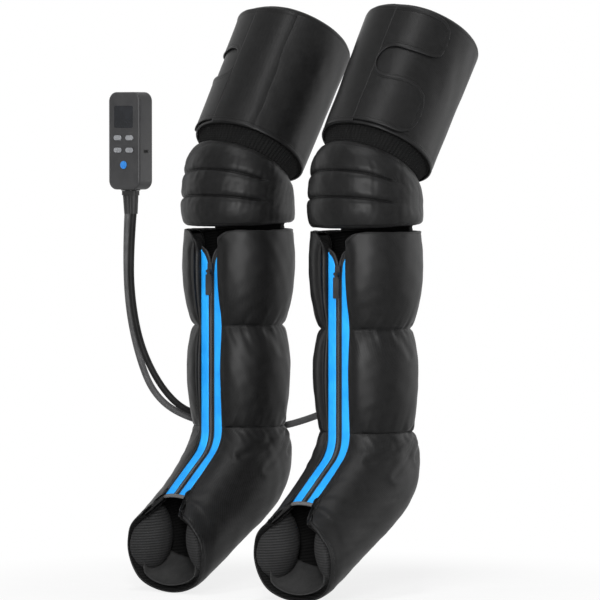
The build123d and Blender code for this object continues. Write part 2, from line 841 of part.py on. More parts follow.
def make_case_front():
    shell = case_block(0) - case_block(case_wall)
    shell = shell & span_box(-past_case, past_case, -past_case, case_split, -20, case_height + 20)
    for x, z in boss_places:
        boss = slab_at(Circle(boss_radius - 0.7), x, z, inner_front_y - 0.5, case_split)
        shell = shell + (boss & case_block(0.5))
        shell = shell - slab_at(Circle(screw_radius + 0.05), x, z, inner_front_y + 1.5, case_split + 1)
    for x in (-board_post_x, board_post_x):
        for z in (board_base + 4, board_top - 4):
            shell = shell + slab_at(Circle(board_post_radius), x, z, inner_front_y - 0.5, board_front)
    seat = RectangleRounded(window_width, window_height, 3)
    shell = shell - slab_at(seat, 0, window_z, front_y - 1, front_y + window_wall + shell_fit)
    sight = RectangleRounded(window_width - 2 * window_ledge, window_height - 2 * window_ledge, 2)
    shell = shell - slab_at(sight, 0, window_z, front_y - 1, inner_front_y + 1)
    for name, (x, z) in button_places.items():
        shell = shell - slab_at(button_outline(name, button_clearance), x, z, front_y - 1, inner_front_y + 1)
    return shell - case_openings()


def make_case_back():
    shell = case_block(0) - case_block(case_wall)
    shell = shell & span_box(-past_case, past_case, case_split, past_case, -20, case_height + 20)
    lip = case_block(case_wall + shell_fit) - case_block(case_wall + shell_fit + lip_wall)
    lip = lip & span_box(-past_case, past_case, case_split - lip_height, case_split + 2, -20, case_height + 20)
    ledge = case_block(case_wall - 0.5) - case_block(case_wall + shell_fit + lip_wall)
    ledge = ledge & span_box(-past_case, past_case, case_split, case_split + 2, -20, case_height + 20)
    shell = shell + ledge + lip
    for x, z in boss_places:
        room = slab_at(Circle(boss_radius - 0.7 + shell_fit), x, z, -past_case, case_split)
        shell = shell - room
        boss = slab_at(Circle(boss_radius), x, z, case_split + shell_fit, inner_back_y + 0.5)
        shell = shell + (boss & case_block(0.5))
        shell = shell - slab_at(Circle(screw_radius + 0.2), x, z, case_split - 1, past_case)
        shell = shell - slab_at(Circle(screw_head_radius + 0.3), x, z, case_depth / 2 - 3.5, past_case)
    for x in (-cradle_half_width, cradle_half_width):
        left = x - cradle_wall / 2
        right = x + cradle_wall / 2
        back = inner_back_y + 0.5
        battery_rib = span_box(left, right, battery_back, back, battery_base + 4, board_top - 4)
        pump_rib = span_box(left, right, works_y + head_depth / 2, back, head_base + 3, head_base + 19)
        shell = shell + battery_rib + pump_rib
    return shell - case_openings()


def make_display_window():
    outline = RectangleRounded(window_width - 2 * shell_fit, window_height - 2 * shell_fit, 3 - shell_fit)
    return slab_at(outline, 0, window_z, front_y, front_y + window_wall)


def make_button(name):
    """Sprung key; its flange rests behind the front wall."""
    x, z = button_places[name]
    flange_front = inner_front_y + button_rest_gap
    stem_end = board_front - switch_height - button_travel - 0.2
    cap = slab_at(button_outline(name, 0), x, z, front_y - button_proud, flange_front)
    cap = fillet(cap.faces().sort_by(Axis.Y)[0].edges(), 0.6)
    flange = slab_at(button_outline(name, button_flange), x, z, flange_front, flange_front + 1.0)
    stem = slab_at(Circle(1.8), x, z, flange_front + 1.0, stem_end)
    key = cap + flange + stem
    mark_front = front_y - button_proud - 1
    mark_back = front_y - button_proud + 0.3
    if name == "power_button":
        return key - slab_at(Circle(3.4) - Circle(2.7), x, z, mark_front, mark_back)
    bar = slab_at(Rectangle(4, 0.9), x, z, mark_front, mark_back)
    if name in ("minus_button", "plus_button"):
        key = key - bar
    if name == "plus_button":
        key = key - slab_at(Rectangle(0.9, 4), x, z, mark_front, mark_back)
    return key


def make_circuit_board():
    """Board with the display module and one switch behind each key."""
    board = span_box(
        -board_half_width, board_half_width, board_front, board_front + board_wall, board_base, board_top
    )
    module = span_box(-16, 16, board_front - 3, board_front, window_z - 14.5, window_z + 14.5)
    board = board + module
    for x, z in button_places.values():
        board = board + span_box(x - 2.6, x + 2.6, board_front - switch_height, board_front, z - 2.6, z + 2.6)
    return board


def make_battery_pack():
    pack = span_box(
        -battery_half_width, battery_half_width, battery_front, battery_back, battery_base, board_top
    )
    return fillet(pack.edges().filter_by(Axis.Z), 2)


def upright(radius, base, height):
    """Vertical cylinder on the motor's axis."""
    return Pos(0, works_y, base + height / 2) * Cylinder(radius, height)


def make_pump_motor():
    can = upright(motor_radius, motor_base, motor_length)
    can = chamfer(can.edges().sort_by(Axis.Z)[-1:], 1)
    bearing = upright(3.5, motor_base - bearing_height, 2 * bearing_height)
    return can + bearing - upright(shaft_radius + running_fit, motor_base - 2, 18)


def make_pump_head():
    half = head_depth / 2
    block = span_box(
        -head_half_width, head_half_width, works_y - half, works_y + half, head_base, head_base + head_height
    )
    block = fillet(block.edges().filter_by(Axis.Z), 3)
    chamber = upright(rotor_chamber_radius, rotor_chamber_base, rotor_chamber_height)
    return block - chamber - upright(shaft_radius + running_fit, rotor_chamber_base, 40)


def make_pump_rotor():
    """Vaned rotor on its shaft."""
    base = rotor_chamber_base + 0.4
    height = rotor_chamber_height - 0.8
    hub = upright(6.0, base, height)
    vane = span_box(-vane_reach, vane_reach, -0.8, 0.8, base, base + height)
    vanes = Pos(0, works_y, 0) * (vane + Rot(0, 0, 90) * vane)
    return hub + vanes + upright(shaft_radius, base, motor_base + 14 - base)


def coil_axis(x, radius, base, height):
    return Pos(x, works_y, base + height / 2) * Cylinder(radius, height)


plunger_base = valve_base + 4.5


def make_valve_block():
    """Air manifold with its two valve coils."""
    block = span_box(
        -valve_half_width + 7, valve_half_width - 7, works_y - 9.5, works_y + 9.5,
        valve_base, valve_base + valve_height,
    )
    for x in (-coil_x, coil_x):
        block = block + coil_axis(x, coil_radius, valve_base + 2, coil_height + valve_height - 2)
        bore = coil_axis(x, plunger_radius + running_fit, plunger_base, plunger_length + plunger_travel + 3)
        block = block - bore
    return block


def make_plunger(sense):
    return coil_axis(sense * coil_x, plunger_radius, plunger_base + 0.5, plunger_length)


def make_hose_socket():
    """Twin air outlet in the controller's lower end."""
    body = span_box(
        -socket_half_width, socket_half_width, -socket_half_depth, socket_half_depth,
        -socket_reach, case_wall + 2.6,
    )
    flange = span_box(
        -socket_half_width - 2, socket_half_width + 2, -socket_half_depth - 2, socket_half_depth + 2,
        case_wall + 0.3, case_wall + 2.6,
    )
    socket = body + flange
    for x in (-hose_spacing / 2, hose_spacing / 2):
        bore = Pos(x, 0, -socket_reach) * Cylinder(socket_bore_radius, 10)
        socket = socket - bore
    return socket


def make_hose_plug():
    """Twin plug with one tapered strain relief for each hose, in the shared frame."""
    top = case_base - socket_reach - plug_gap
    block = Pos(case_x, case_y, plug_floor + plug_height / 2) * Box(
        2 * socket_half_width, 2 * socket_half_depth + 2, plug_height
    )
    plug = fillet(block.edges().filter_by(Axis.Z), 5)
    for side in ("right", "left"):
        root, heading = relief_axis(side)
        cone = sleeved_cone(plug_relief_root, plug_relief_tip, plug_relief_length)
        plug = plug + Plane(origin=root, x_dir=(1, 0, 0), z_dir=heading) * cone
        nipple = Cylinder(socket_bore_radius - hose_fit, 4)
        plug = plug + Pos(root.X, root.Y, top + 1.5) * nipple
    for side in ("right", "left"):
        root, heading = relief_axis(side)
        depth = hose_grip + hose_fit
        seat = Cylinder(hose_diameter / 2 + hose_fit, depth + 4)
        seat = Pos(0, 0, plug_relief_length - depth + (depth + 4) / 2) * seat
        plug = plug - Plane(origin=root, x_dir=(1, 0, 0), z_dir=heading) * seat
    return plug


def make_charge_socket():
    """Charging inlet in the controller's side."""
    side = case_width / 2
    body = span_box(
        side - charge_depth, side - 0.4, -charge_half_width - 1, charge_half_width + 1,
        charge_z - charge_half_height - 1, charge_z + charge_half_height + 1,
    )
    hole = span_box(
        side - charge_depth + 1.5, side + 1, -charge_half_width, charge_half_width,
        charge_z - charge_half_height, charge_z + charge_half_height,
    )
    tongue = span_box(
        side - charge_depth + 1, side - 1.5, -charge_half_width + 1.2, charge_half_width - 1.2,
        charge_z - 0.4, charge_z + 0.4,
    )
    return body - hole + tongue


def make_case_screws():
    """Four screws that hold the two shells together."""
    screws = []
    head_end = case_depth / 2 - 3.5
    for x, z in boss_places:
        head = slab_at(Circle(screw_head_radius), x, z, head_end, head_end + screw_head_height)
        cross = slab_at(Rectangle(3, 0.7) + Rectangle(0.7, 3), x, z, head_end + 1, head_end + 3)
        shank = slab_at(Circle(screw_radius), x, z, head_end - screw_length, head_end)
        screws.append(head + shank - cross)
    return Compound(screws)


# ---------------------------------------------------------------- write every piece
boot_pieces = {
    "calf_cover": make_calf_cover(),
    "calf_lining": make_calf_lining(),
    "upper_bladder": make_calf_bladder(-seam_margin, -waist_drop + seam_margin),
    "lower_bladder": make_calf_bladder(-waist_drop - seam_margin, -calf_length + seam_margin),
    "foot_cover": make_foot_cover(),
    "foot_lining": make_foot_lining(),
    "foot_bladder": make_foot_bladder(),
    "zip_placket": make_zip_placket(),
    "zip_tape": make_zip_tape(),
    "zip_slider": make_zip_slider(),
    "zip_pull": make_zip_pull(),
    "knee_pad": make_knee_pad(),
    "knee_gaiter": make_knee_gaiter(),
    "knee_strap": make_knee_strap(),
    "thigh_cuff": on_thigh(make_thigh_cuff()),
    "thigh_bladder": on_thigh(make_thigh_bladder()),
    "upper_tab": on_thigh(make_tab(upper_tab_base, upper_tab_top)),
    "lower_tab": on_thigh(make_tab(lower_tab_base, lower_tab_top)),
}
port = make_hose_port()
for side in ("right", "left"):
    for name, piece in boot_pieces.items():
        save(f"{side}_{name}", on_side(piece, side))
    shift = leg_pitch if side == "left" else 0
    save(f"{side}_hose_port", Pos(shift, 0, 0) * port)
    save(f"{side}_hose", make_hose(side))

save("case_front", in_case(make_case_front()))
save("case_back", in_case(make_case_back()))
save("display_window", in_case(make_display_window()))
for button in button_places:
    save(button, in_case(make_button(button)))
save("circuit_board", in_case(make_circuit_board()))
save("battery_pack", in_case(make_battery_pack()))
save("pump_motor", in_case(make_pump_motor()))
save("pump_rotor", in_case(make_pump_rotor()))
save("pump_head", in_case(make_pump_head()))
save("valve_block", in_case(make_valve_block()))
save("right_plunger", in_case(make_plunger(1)))
save("left_plunger", in_case(make_plunger(-1)))
save("hose_socket", in_case(make_hose_socket()))
save("hose_plug", make_hose_plug())
save("charge_socket", in_case(make_charge_socket()))
save("case_screws", in_case(make_case_screws()))
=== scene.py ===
import math
import bmesh
import bpy
import numpy as np
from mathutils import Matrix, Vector


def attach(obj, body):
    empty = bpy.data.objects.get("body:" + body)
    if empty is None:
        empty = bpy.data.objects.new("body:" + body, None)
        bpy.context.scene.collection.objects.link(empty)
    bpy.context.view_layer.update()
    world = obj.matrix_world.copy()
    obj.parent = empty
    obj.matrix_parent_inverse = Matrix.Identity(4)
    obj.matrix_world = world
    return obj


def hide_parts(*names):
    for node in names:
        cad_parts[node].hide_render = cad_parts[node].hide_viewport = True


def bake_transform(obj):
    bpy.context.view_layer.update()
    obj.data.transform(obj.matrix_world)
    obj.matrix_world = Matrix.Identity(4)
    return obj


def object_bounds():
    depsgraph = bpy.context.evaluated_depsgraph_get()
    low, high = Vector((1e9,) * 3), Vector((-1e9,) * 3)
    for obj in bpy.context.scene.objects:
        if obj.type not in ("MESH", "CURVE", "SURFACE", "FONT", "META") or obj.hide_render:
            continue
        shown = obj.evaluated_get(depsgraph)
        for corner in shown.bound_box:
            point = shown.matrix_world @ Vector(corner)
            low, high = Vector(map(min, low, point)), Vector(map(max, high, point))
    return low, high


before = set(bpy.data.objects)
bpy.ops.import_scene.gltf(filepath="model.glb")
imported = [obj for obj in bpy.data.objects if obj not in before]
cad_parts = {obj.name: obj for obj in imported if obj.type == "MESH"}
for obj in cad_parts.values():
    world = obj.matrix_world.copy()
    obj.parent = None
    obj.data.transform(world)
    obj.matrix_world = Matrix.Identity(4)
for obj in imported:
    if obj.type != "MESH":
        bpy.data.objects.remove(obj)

cad_low, cad_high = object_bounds()

# ------------------------------------------------------------------ camera
# A long lens looks at the pair from the wearer's left front, almost level, so that both
# boots keep the same size. It aims at a point between them, half way down the pair.
turn = math.radians(39)
rise = math.radians(2)
sight = Vector((0.1263, -0.0007, -0.1101))
stand_off = 8.0              # metres from the pair's middle to the lens
level = math.cos(rise)
back_to_camera = Vector((math.sin(turn) * level, -math.cos(turn) * level, math.sin(rise)))


def placed(name, data):
    """A new object of that data in the scene."""
    made = bpy.data.objects.new(name, data)
    bpy.context.scene.collection.objects.link(made)
    return made


def aimed(thing, direction):
    """Turn a camera or a lamp so that it looks along a direction."""
    thing.rotation_mode = "QUATERNION"
    thing.rotation_quaternion = direction.to_track_quat("-Z", "Y")


lens_data = bpy.data.cameras.new("long_lens")
lens_data.sensor_width = 36
lens_data.lens = 304.3
lens_data.clip_start = 0.5
lens_data.clip_end = 60
camera = placed("studio_camera", lens_data)
camera.location = sight + back_to_camera * stand_off
aimed(camera, -back_to_camera)
bpy.context.scene.camera = camera
bpy.context.scene.view_settings.view_transform = "Standard"

# ------------------------------------------------------------------ air hoses
# Two extruded rubber hoses, 11 mm thick, bring air from the hand controller to the back
# of each boot. They hang free, and each end is pushed 8 mm into a tapered rubber sleeve.


class Shade:
    """A value inside a material. Sums and products of values become Math nodes."""

    def __init__(self, tree, socket=None):
        self.tree = tree
        self.socket = socket

    def node(self, kind, settings=None, sockets=None, out=0):
        """Add a node: its settings first, then the values or links of its sockets."""
        made = self.tree.nodes.new(kind)
        for name, value in (settings or {}).items():
            setattr(made, name, value)
        for name, value in (sockets or {}).items():
            if isinstance(value, Shade):
                self.tree.links.new(value.socket, made.inputs[name])
            else:
                made.inputs[name].default_value = value
        return Shade(self.tree, made.outputs[out] if made.outputs else None)

    def other(self, output):
        """Another output of the node that this value comes from."""
        return Shade(self.tree, self.socket.node.outputs[output])

    def axes(self, names):
        """This vector's parts along the named axes."""
        split = self.node("ShaderNodeSeparateXYZ", None, {0: self})
        return [split.other(name) for name in names]

    def math(self, operation, *values):
        """A Math node on one or two values."""
        return self.node("ShaderNodeMath", {"operation": operation}, dict(enumerate(values)))

    def __add__(self, other):
        return self.math("ADD", self, other)

    def __radd__(self, other):
        return self.math("ADD", other, self)

    def __sub__(self, other):
        return self.math("SUBTRACT", self, other)

    def __rsub__(self, other):
        return self.math("SUBTRACT", other, self)

    def __mul__(self, other):
        return self.math("MULTIPLY", self, other)

    def __rmul__(self, other):
        return self.math("MULTIPLY", other, self)

    def sine(self):
        return self.math("SINE", self)

    def size(self):
        """The value without its sign."""
        return self.math("ABSOLUTE", self)

    def within(self, low, high):
        """0 below low, 1 above high and a soft step between."""
        settings = {"interpolation_type": "SMOOTHSTEP"}
        return self.node("ShaderNodeMapRange", settings, {0: self, 1: low, 2: high, 3: 0.0, 4: 1.0})

    def grain(self, size, detail=2.0, roughness=0.5):
        """Fine irregular speckle of that size in metres, fixed to the object."""
        place = self.node("ShaderNodeTexCoord", out="Object")
        sockets = {"Vector": place, "Scale": 1 / size, "Detail": detail, "Roughness": roughness}
        return self.node("ShaderNodeTexNoise", None, sockets)

    def blend(self, first, second):
        """Mix two colours by this value."""
        sockets = {0: self, 6: (*first, 1), 7: (*second, 1)}
        return self.node("ShaderNodeMix", {"data_type": "RGBA"}, sockets, 2)

    def bump(self, height, distance, **under):
        """Surface relief from a height between 0 and 1, that many metres deep."""
        return self.node("ShaderNodeBump", None, {"Height": height, "Distance": distance, **under})


def finish(name, recipe, **fixed):
    """A material: fixed numbers on the shader, and the recipe's varying sockets."""
    made = bpy.data.materials.new(name)
    made.use_nodes = True
    made.node_tree.nodes.clear()
    start = Shade(made.node_tree)
    sockets = {label.replace("_", " "): value for label, value in fixed.items()}
    sockets.update(recipe(start))
    shader = start.node("ShaderNodeBsdfPrincipled", None, sockets)
    start.node("ShaderNodeOutputMaterial", None, {"Surface": shader})
    return made


def moulded(dark, light, rough, speckle=0.0007, depth=0.00005):
    """Recipe for a moulded or extruded surface: faint mottle and a fine skin."""
    def recipe(start):
        mottle = start.grain(0.02, 3)
        skin = start.grain(speckle, 1)
        return {
            "Base Color": mottle.within(0.3, 0.7).blend(dark, light),
            "Roughness": mottle * 0.12 + (rough - 0.06) + skin * 0.04,
            "Normal": start.bump(skin, depth),
        }
    return recipe


hose_look = {
    "right": finish(
        "hose_rubber_inner", moulded((0.004, 0.004, 0.004), (0.009, 0.009, 0.009), 0.5),
        Specular_IOR_Level=0.1,
    ),
    "left": finish(
        "hose_rubber_outer", moulded((0.052, 0.052, 0.053), (0.072, 0.072, 0.073), 0.55),
        Specular_IOR_Level=0.15,
    ),
}
hose_thickness = 0.011
hose_routes = {
    "right": [
        (-0.2288, 0.0094, 0.0297), (-0.2330, 0.0040, -0.0524), (-0.2289, 0.0069, -0.1328),
        (-0.2165, 0.0166, -0.2022), (-0.1880, 0.0331, -0.2637), (-0.1479, 0.0453, -0.2993),
        (-0.1023, 0.0629, -0.3040), (-0.0661, 0.0800, -0.2802), (-0.0450, 0.0922, -0.2356),
        (-0.0141, 0.0922, -0.1989),
    ],
    "left": [
        (-0.2426, 0.0109, 0.0297), (-0.2465, 0.0105, -0.0311), (-0.2431, 0.0108, -0.1253),
        (-0.2299, 0.0203, -0.2072), (-0.2080, 0.0335, -0.2721), (-0.1642, 0.0558, -0.3080),
        (-0.0811, 0.0923, -0.3265), (-0.0083, 0.1075, -0.3226), (0.0762, 0.1093, -0.2997),
        (0.1456, 0.1006, -0.2708), (0.2117, 0.0922, -0.2372), (0.2439, 0.0922, -0.1989),
    ],
}
for side, route in hose_routes.items():
    curve = bpy.data.curves.new(f"{side}_air_hose", "CURVE")
    curve.dimensions = "3D"
    curve.bevel_depth = hose_thickness / 2
    curve.bevel_resolution = 6
    curve.use_fill_caps = True
    line = curve.splines.new("NURBS")
    line.points.add(len(route) - 1)
    for point, place in zip(line.points, route):
        point.co = (*place, 1)
    line.order_u = 3
    line.use_endpoint_u = True
    line.resolution_u = 16
    hose = placed(f"{side}_air_hose", curve)
    curve.materials.append(hose_look[side])
    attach(hose, "boots")
    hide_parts(f"{side}_hose")

# ------------------------------------------------------------------ boot covers
# The outer skin of each boot is black woven polyester, welded to the air chambers behind
# it. The calf has two chambers with pinched seams, the foot one, and the flaps turn in
# beside the zipper. Here it is drawn in millimetres, from the calf rim to the toe opening.
leg_pitch = 258.0
calf_length = 312.0
slot_half_width = 21.0
slot_corner = 26.0
placket_reach = 68.0
cover_wall = 3.0
jamb_reach = 6.0             # the flap edges reach this far behind the zipper's face
waist_drop = 152.0           # the seam between the calf's two chambers
stitch_line = 6.2            # how far each row of stitches runs from a hem or a seam
unstitched = 20.0            # stands for that distance on pieces without stitches
half_points = 241            # of each half outline, front to back
instep_slope = math.radians(40)
zip_end = np.array([-155.0, -414.5])


def smooth_curve(knots, values, at):
    """Values on a curve without corners through the ones at the knots."""
    knots = np.asarray(knots, float)
    values = np.asarray(values, float)
    slopes = np.gradient(values, knots, axis=0)
    place = np.clip(np.searchsorted(knots, at, side="right") - 1, 0, len(knots) - 2)
    width = knots[place + 1] - knots[place]
    share = (at - knots[place]) / width
    if values.ndim > 1:
        width = width[..., None]
        share = share[..., None]
    rest = 1 - share
    ends = rest ** 2 * (1 + 2 * share) * values[place]
    ends = ends + share ** 2 * (3 - 2 * share) * values[place + 1]
    return ends + width * share * rest * (rest * slopes[place] - share * slopes[place + 1])


upper_chamber = ([0.0, 36.5, 97.3, waist_drop], [86.5, 89.3, 86.9, 75.0])
lower_chamber = ([waist_drop, 204.8, 257.6, calf_length], [75.0, 82.2, 80.7, 73.5])
ring_turn = np.linspace(0, math.pi, half_points)


def around_leg(radius, turn_at, height):
    """Points at a radius and a height, turned about the leg from its front towards +x."""
    x, y = radius * np.sin(turn_at), -radius * np.cos(turn_at)
    return np.stack(np.broadcast_arrays(x, y, height), -1)


def calf_half(drop):
    """Half outline of the calf, from the front round to the back, at a drop below the rim."""
    chamber = upper_chamber if drop <= waist_drop else lower_chamber
    return around_leg(float(smooth_curve(*chamber, np.array(drop))), ring_turn, -drop)


# Each foot station: instep (y, z), sole (y, z) and half width; z from the ankle pinch.
foot_stations = np.array([
    [-73.5, 0, 73.5, 0, 73.5],
    [-77, -15, 81, -21, 74.5],
    [-86, -31, 84, -54, 77.5],
    [-100, -47, 75, -90, 80],
    [-120, -67, 50, -124, 81],
    [-140, -85, 12, -152, 81],
    [-151, -94, -34, -180, 80],
    [-158, -101, -88, -212, 80],
    [-162, -104, -136, -241, 80],
    [-165, -107, -165, -256, 79],
    [-192, -125, -198, -253, 76],
])
ankle_ring = [(0, 1), (0.707, 0.707), (1, 0), (0.707, -0.707), (0, -1)]
foot_ring = [(0, 1), (0.72, 0.72), (1, 0), (0.75, -0.75), (0, -1)]


def foot_half(station, inset=0.0):
    """Half outline of the foot at a station, which may lie between two of the rows above."""
    rows = np.arange(len(foot_stations))
    y1, z1, y0, z0, width = smooth_curve(rows, foot_stations, np.array(station))
    toes = min(station, 1.0)
    ring = (1 - toes) * np.array(ankle_ring) + toes * np.array(foot_ring)
    around = np.concatenate([ring[1:4][::-1] * [-1, 1], ring, ring[1:4][::-1] * [-1, 1]])
    x, up = smooth_curve(np.arange(-3, 8), around, np.linspace(0, 4, half_points)).T
    length = math.hypot(y1 - y0, z1 - z0)
    along = np.array([y1 - y0, z1 - z0]) / length
    middle = np.array([y1 + y0, z1 + z0 - 2 * calf_length]) / 2
    side_view = middle + np.outer(up * (length / 2 - inset), along)
    return np.column_stack([x * (width - inset), side_view])


def run_along(grid, axis):
    """Distance in millimetres along a line, or along the rows or columns of a grid."""
    step = np.linalg.norm(np.diff(grid, axis=axis), axis=-1)
    start = np.zeros_like(np.take(step, [0], axis=axis))
    return np.concatenate([start, np.cumsum(step, axis=axis)], axis=axis)


def spaced(line, count):
    """A line's points moved to even spacing."""
    run = run_along(line, 0)
    at = np.linspace(0, run[-1], count)
    return np.stack([np.interp(at, run, line[:, k]) for k in range(3)], 1)


bend_drop = 317.25           # the zipper turns over the instep from here
bend_radius = 52
bend_angle = math.radians(50)
bend = np.linspace(0, bend_angle, 12)
down_instep = np.array([-math.cos(instep_slope), -math.sin(instep_slope)])
zip_line = np.concatenate([
    [[-placket_reach, 0.0]],
    [-placket_reach, -bend_drop] - bend_radius * np.stack([1 - np.cos(bend), np.sin(bend)], 1),
    [zip_end],
    [zip_end + 60 * down_instep],
])


def past_zip_end(point):
    """How far a (y, z) point lies past the zipper's end, down the instep."""
    return (point - zip_end) @ down_instep


def off_zip_line(points):
    """Distance of (y, z) points from the zipper's face."""
    nearest = np.full(len(points), 1e9)
    for start, end in zip(zip_line, zip_line[1:]):
        run = end - start
        share = np.clip(((points - start) @ run) / (run @ run), 0, 1)
        nearest = np.minimum(nearest, np.linalg.norm(points - start - share[:, None] * run, axis=1))
    return nearest


skin_columns = 66
skin_start = (2.4, 4.2)      # run from the cut to the skin's first two columns
roll_share = 0.62            # of the flap's height over the zipper
roll_width = 24.0


def cut_at(half, edge):
    """The part of a half outline that lies beyond x = edge, cut there."""
    first = int(np.argmax(half[:, 0] > edge))
    share = (edge - half[first - 1, 0]) / (half[first, 0] - half[first - 1, 0])
    corner = half[first - 1] + share * (half[first] - half[first - 1])
    return np.concatenate([[corner], half[first:]])


def opened(half, edge, depth, full):
    """Half outline cut at x = edge, its stuffed edge rolled in and turned down by depth."""
    skin = cut_at(half, edge)
    corner = skin[0]
    run = run_along(skin, 0)
    first, second = skin_start
    spread = np.linspace(0, 1, skin_columns) ** 1.12
    at = np.concatenate([[first], second + (run[-1] - second) * spread])
    skin = np.stack([np.interp(at, run, skin[:, k]) for k in range(3)], 1)
    along = (skin[0] - corner) / np.linalg.norm(skin[0] - corner)
    inward = half[-1] - half[0]
    inward = inward / np.linalg.norm(inward)
    roll = full * roll_share * max(depth - jamb_reach, 0)
    skin = skin + inward * (roll * np.clip(1 - at / roll_width, 0, 1) ** 2)[:, None]
    corner = corner + inward * roll
    depth -= roll
    floors = ((1, 4.0), (0.75, 3.5), (0.5, 3.0), (0.28, 2.5))   # share of depth, least depth
    jamb = [corner + inward * max(depth * share, least) for share, least in floors]
    round_part = [corner + inward * 0.7 + along * 0.7]
    return np.concatenate([jamb, [corner + inward * 2.0], round_part, skin])


def whole(half):
    """Both halves of an opened outline, mirror images that share the back's point."""
    return np.concatenate([half, half[-2::-1] * [-1, 1, 1]])


def flap_edge(drop):
    """Half width of the front opening, with the flap corners rounded at the rim."""
    if drop >= slot_corner:
        return slot_half_width
    return slot_half_width + slot_corner - math.sqrt(slot_corner ** 2 - (slot_corner - drop) ** 2)


# Half width of the gap (second list) at distances past the zipper's end (first list).
toe_gap = ([-60, 5, 7, 28, 44, 120], [21, 21, 21, 28, 37, 37])
toe_rim = np.array([         # (y, z) from the instep down to below the sole, z from the ankle
    [-161, -60], [-161, -108], [-177, -118], [-188, -131], [-190, -148], [-184, -170],
    [-181, -193], [-172, -239], [-160, -273],
]) - [0, calf_length]
rim_heights = np.linspace(toe_rim[-1, 1], toe_rim[1, 1], 60)
rim_line = smooth_curve(toe_rim[:0:-1, 1], toe_rim[:0:-1, 0], rim_heights)


def past_rim(points):
    """How far (y, z) points lie in front of the toe opening's rim."""
    return np.interp(points[..., 1], rim_heights, rim_line) - points[..., 0]


calf_drops = np.concatenate([
    np.linspace(0, 30, 16), np.linspace(33, 146, 38), np.linspace(148, 156, 5),
    np.linspace(159, 303, 46), np.linspace(306, calf_length, 3),
])
calf_rows = []
for drop in calf_drops:
    edge = flap_edge(drop)
    half = calf_half(drop)
    depth = -placket_reach + jamb_reach - half[int(np.argmax(half[:, 0] > edge)), 1]
    turned = np.clip((27 - edge) / 5, 0, 1)   # not where the rim's corners are rounded
    full = np.clip((drop - 4) / 34, 0, 1)     # the stuffed roll begins below the rim
    calf_rows.append(whole(opened(half, edge, depth * turned, full * full * (3 - 2 * full))))
calf_grid = np.array(calf_rows)

foot_rows = []
for station in np.linspace(0, 10, 241):
    half = foot_half(station)
    reach = past_zip_end(half[0, 1:])
    edge = np.interp(reach, *toe_gap)
    depth = off_zip_line(half[int(np.argmax(half[:, 0] > edge)), None, 1:])[0] + jamb_reach
    full = np.clip(-reach / 30, 0, 1)         # the roll runs out at the zipper's end
    foot_rows.append(whole(opened(half, edge, depth * np.clip(-reach / 6, 0, 1), full)))


def run_to_rim(rows, count, setback, forward):
    """A foot grid whose columns end at the toe opening, sought from that far forward on."""
    dense = np.array(rows)
    fitted = np.empty((count, *dense.shape[1:]))
    for column in range(dense.shape[1]):
        line = dense[:, column]
        ahead = past_rim(line[:, 1:] - [setback, 0])
        first = int(np.argmax((ahead > 0) & (line[:, 1] < -forward)))
        share = -ahead[first - 1] / (ahead[first] - ahead[first - 1])
        last = line[first - 1] + share * (line[first] - line[first - 1])
        fitted[:, column] = spaced(np.concatenate([line[:first], [last]]), count)
    return fitted


foot_grid = run_to_rim(foot_rows, 84, 0, 150)


def rumple(u, v, seed, waves):
    """Soft unevenness of cloth in millimetres: seeded waves as (height, length, stretch)."""
    draw = np.random.default_rng(seed)
    total = np.zeros_like(u)
    for height, length, stretch in waves:
        for _ in range(5):
            heading = draw.uniform(0, math.pi)
            phase = draw.uniform(0, 2 * math.pi)
            pitch = 2 * math.pi / (length * draw.uniform(0.75, 1.35))
            total += height / 5 ** 0.5 * np.sin(
                pitch * (u * math.cos(heading) + stretch * v * math.sin(heading)) + phase
            )
    return total


def fading(off, reach):
    """1 on a line and less on both sides of it, with the distance off the line."""
    return np.exp(-np.abs(off) / reach)


def hump(off, width):
    """A rounded ridge of height 1 on a line, by the distance off the line."""
    return np.exp(-((off / width) ** 2))


def puckers(u, off, seed, height, pitch, reach):
    """Short creases that run away from a seam: off is the distance from it."""
    draw = np.random.default_rng(seed)
    wave = np.zeros_like(u)
    for share in (1.0, 0.62, 1.7):
        wave += np.sin(2 * math.pi * u * share / pitch + draw.uniform(0, 2 * math.pi))
    return height * wave / 3 * fading(off, reach) * (1 - fading(off, 2.5))


def fold(points, path, depth, width):
    """Crease along a path of points, with the cloth raised on both sides of it."""
    nearest = np.full(points.shape[:-1], 1e9)
    for start, end in zip(np.array(path[:-1], float), np.array(path[1:], float)):
        run = end - start
        share = np.clip(((points - start) @ run) / (run @ run), 0, 1)
        away = np.linalg.norm(points - start - share[..., None] * run, axis=-1)
        nearest = np.minimum(nearest, away)
    ratio = nearest / width
    return depth * (0.55 * hump(ratio - 1.7, 1) - hump(ratio, 1))


def outward(grid, ring=False):
    """Unit normals of a grid whose rows run down and columns run from the front to +x."""
    if ring:
        wide = np.concatenate([grid[:, -1:], grid, grid[:, :1]], 1)
        across = (wide[:, 2:] - wide[:, :-2]) / 2
    else:
        across = np.gradient(grid, axis=1)
    normal = np.cross(np.gradient(grid, axis=0), across)
    return normal / np.maximum(np.linalg.norm(normal, axis=-1, keepdims=True), 1e-9)


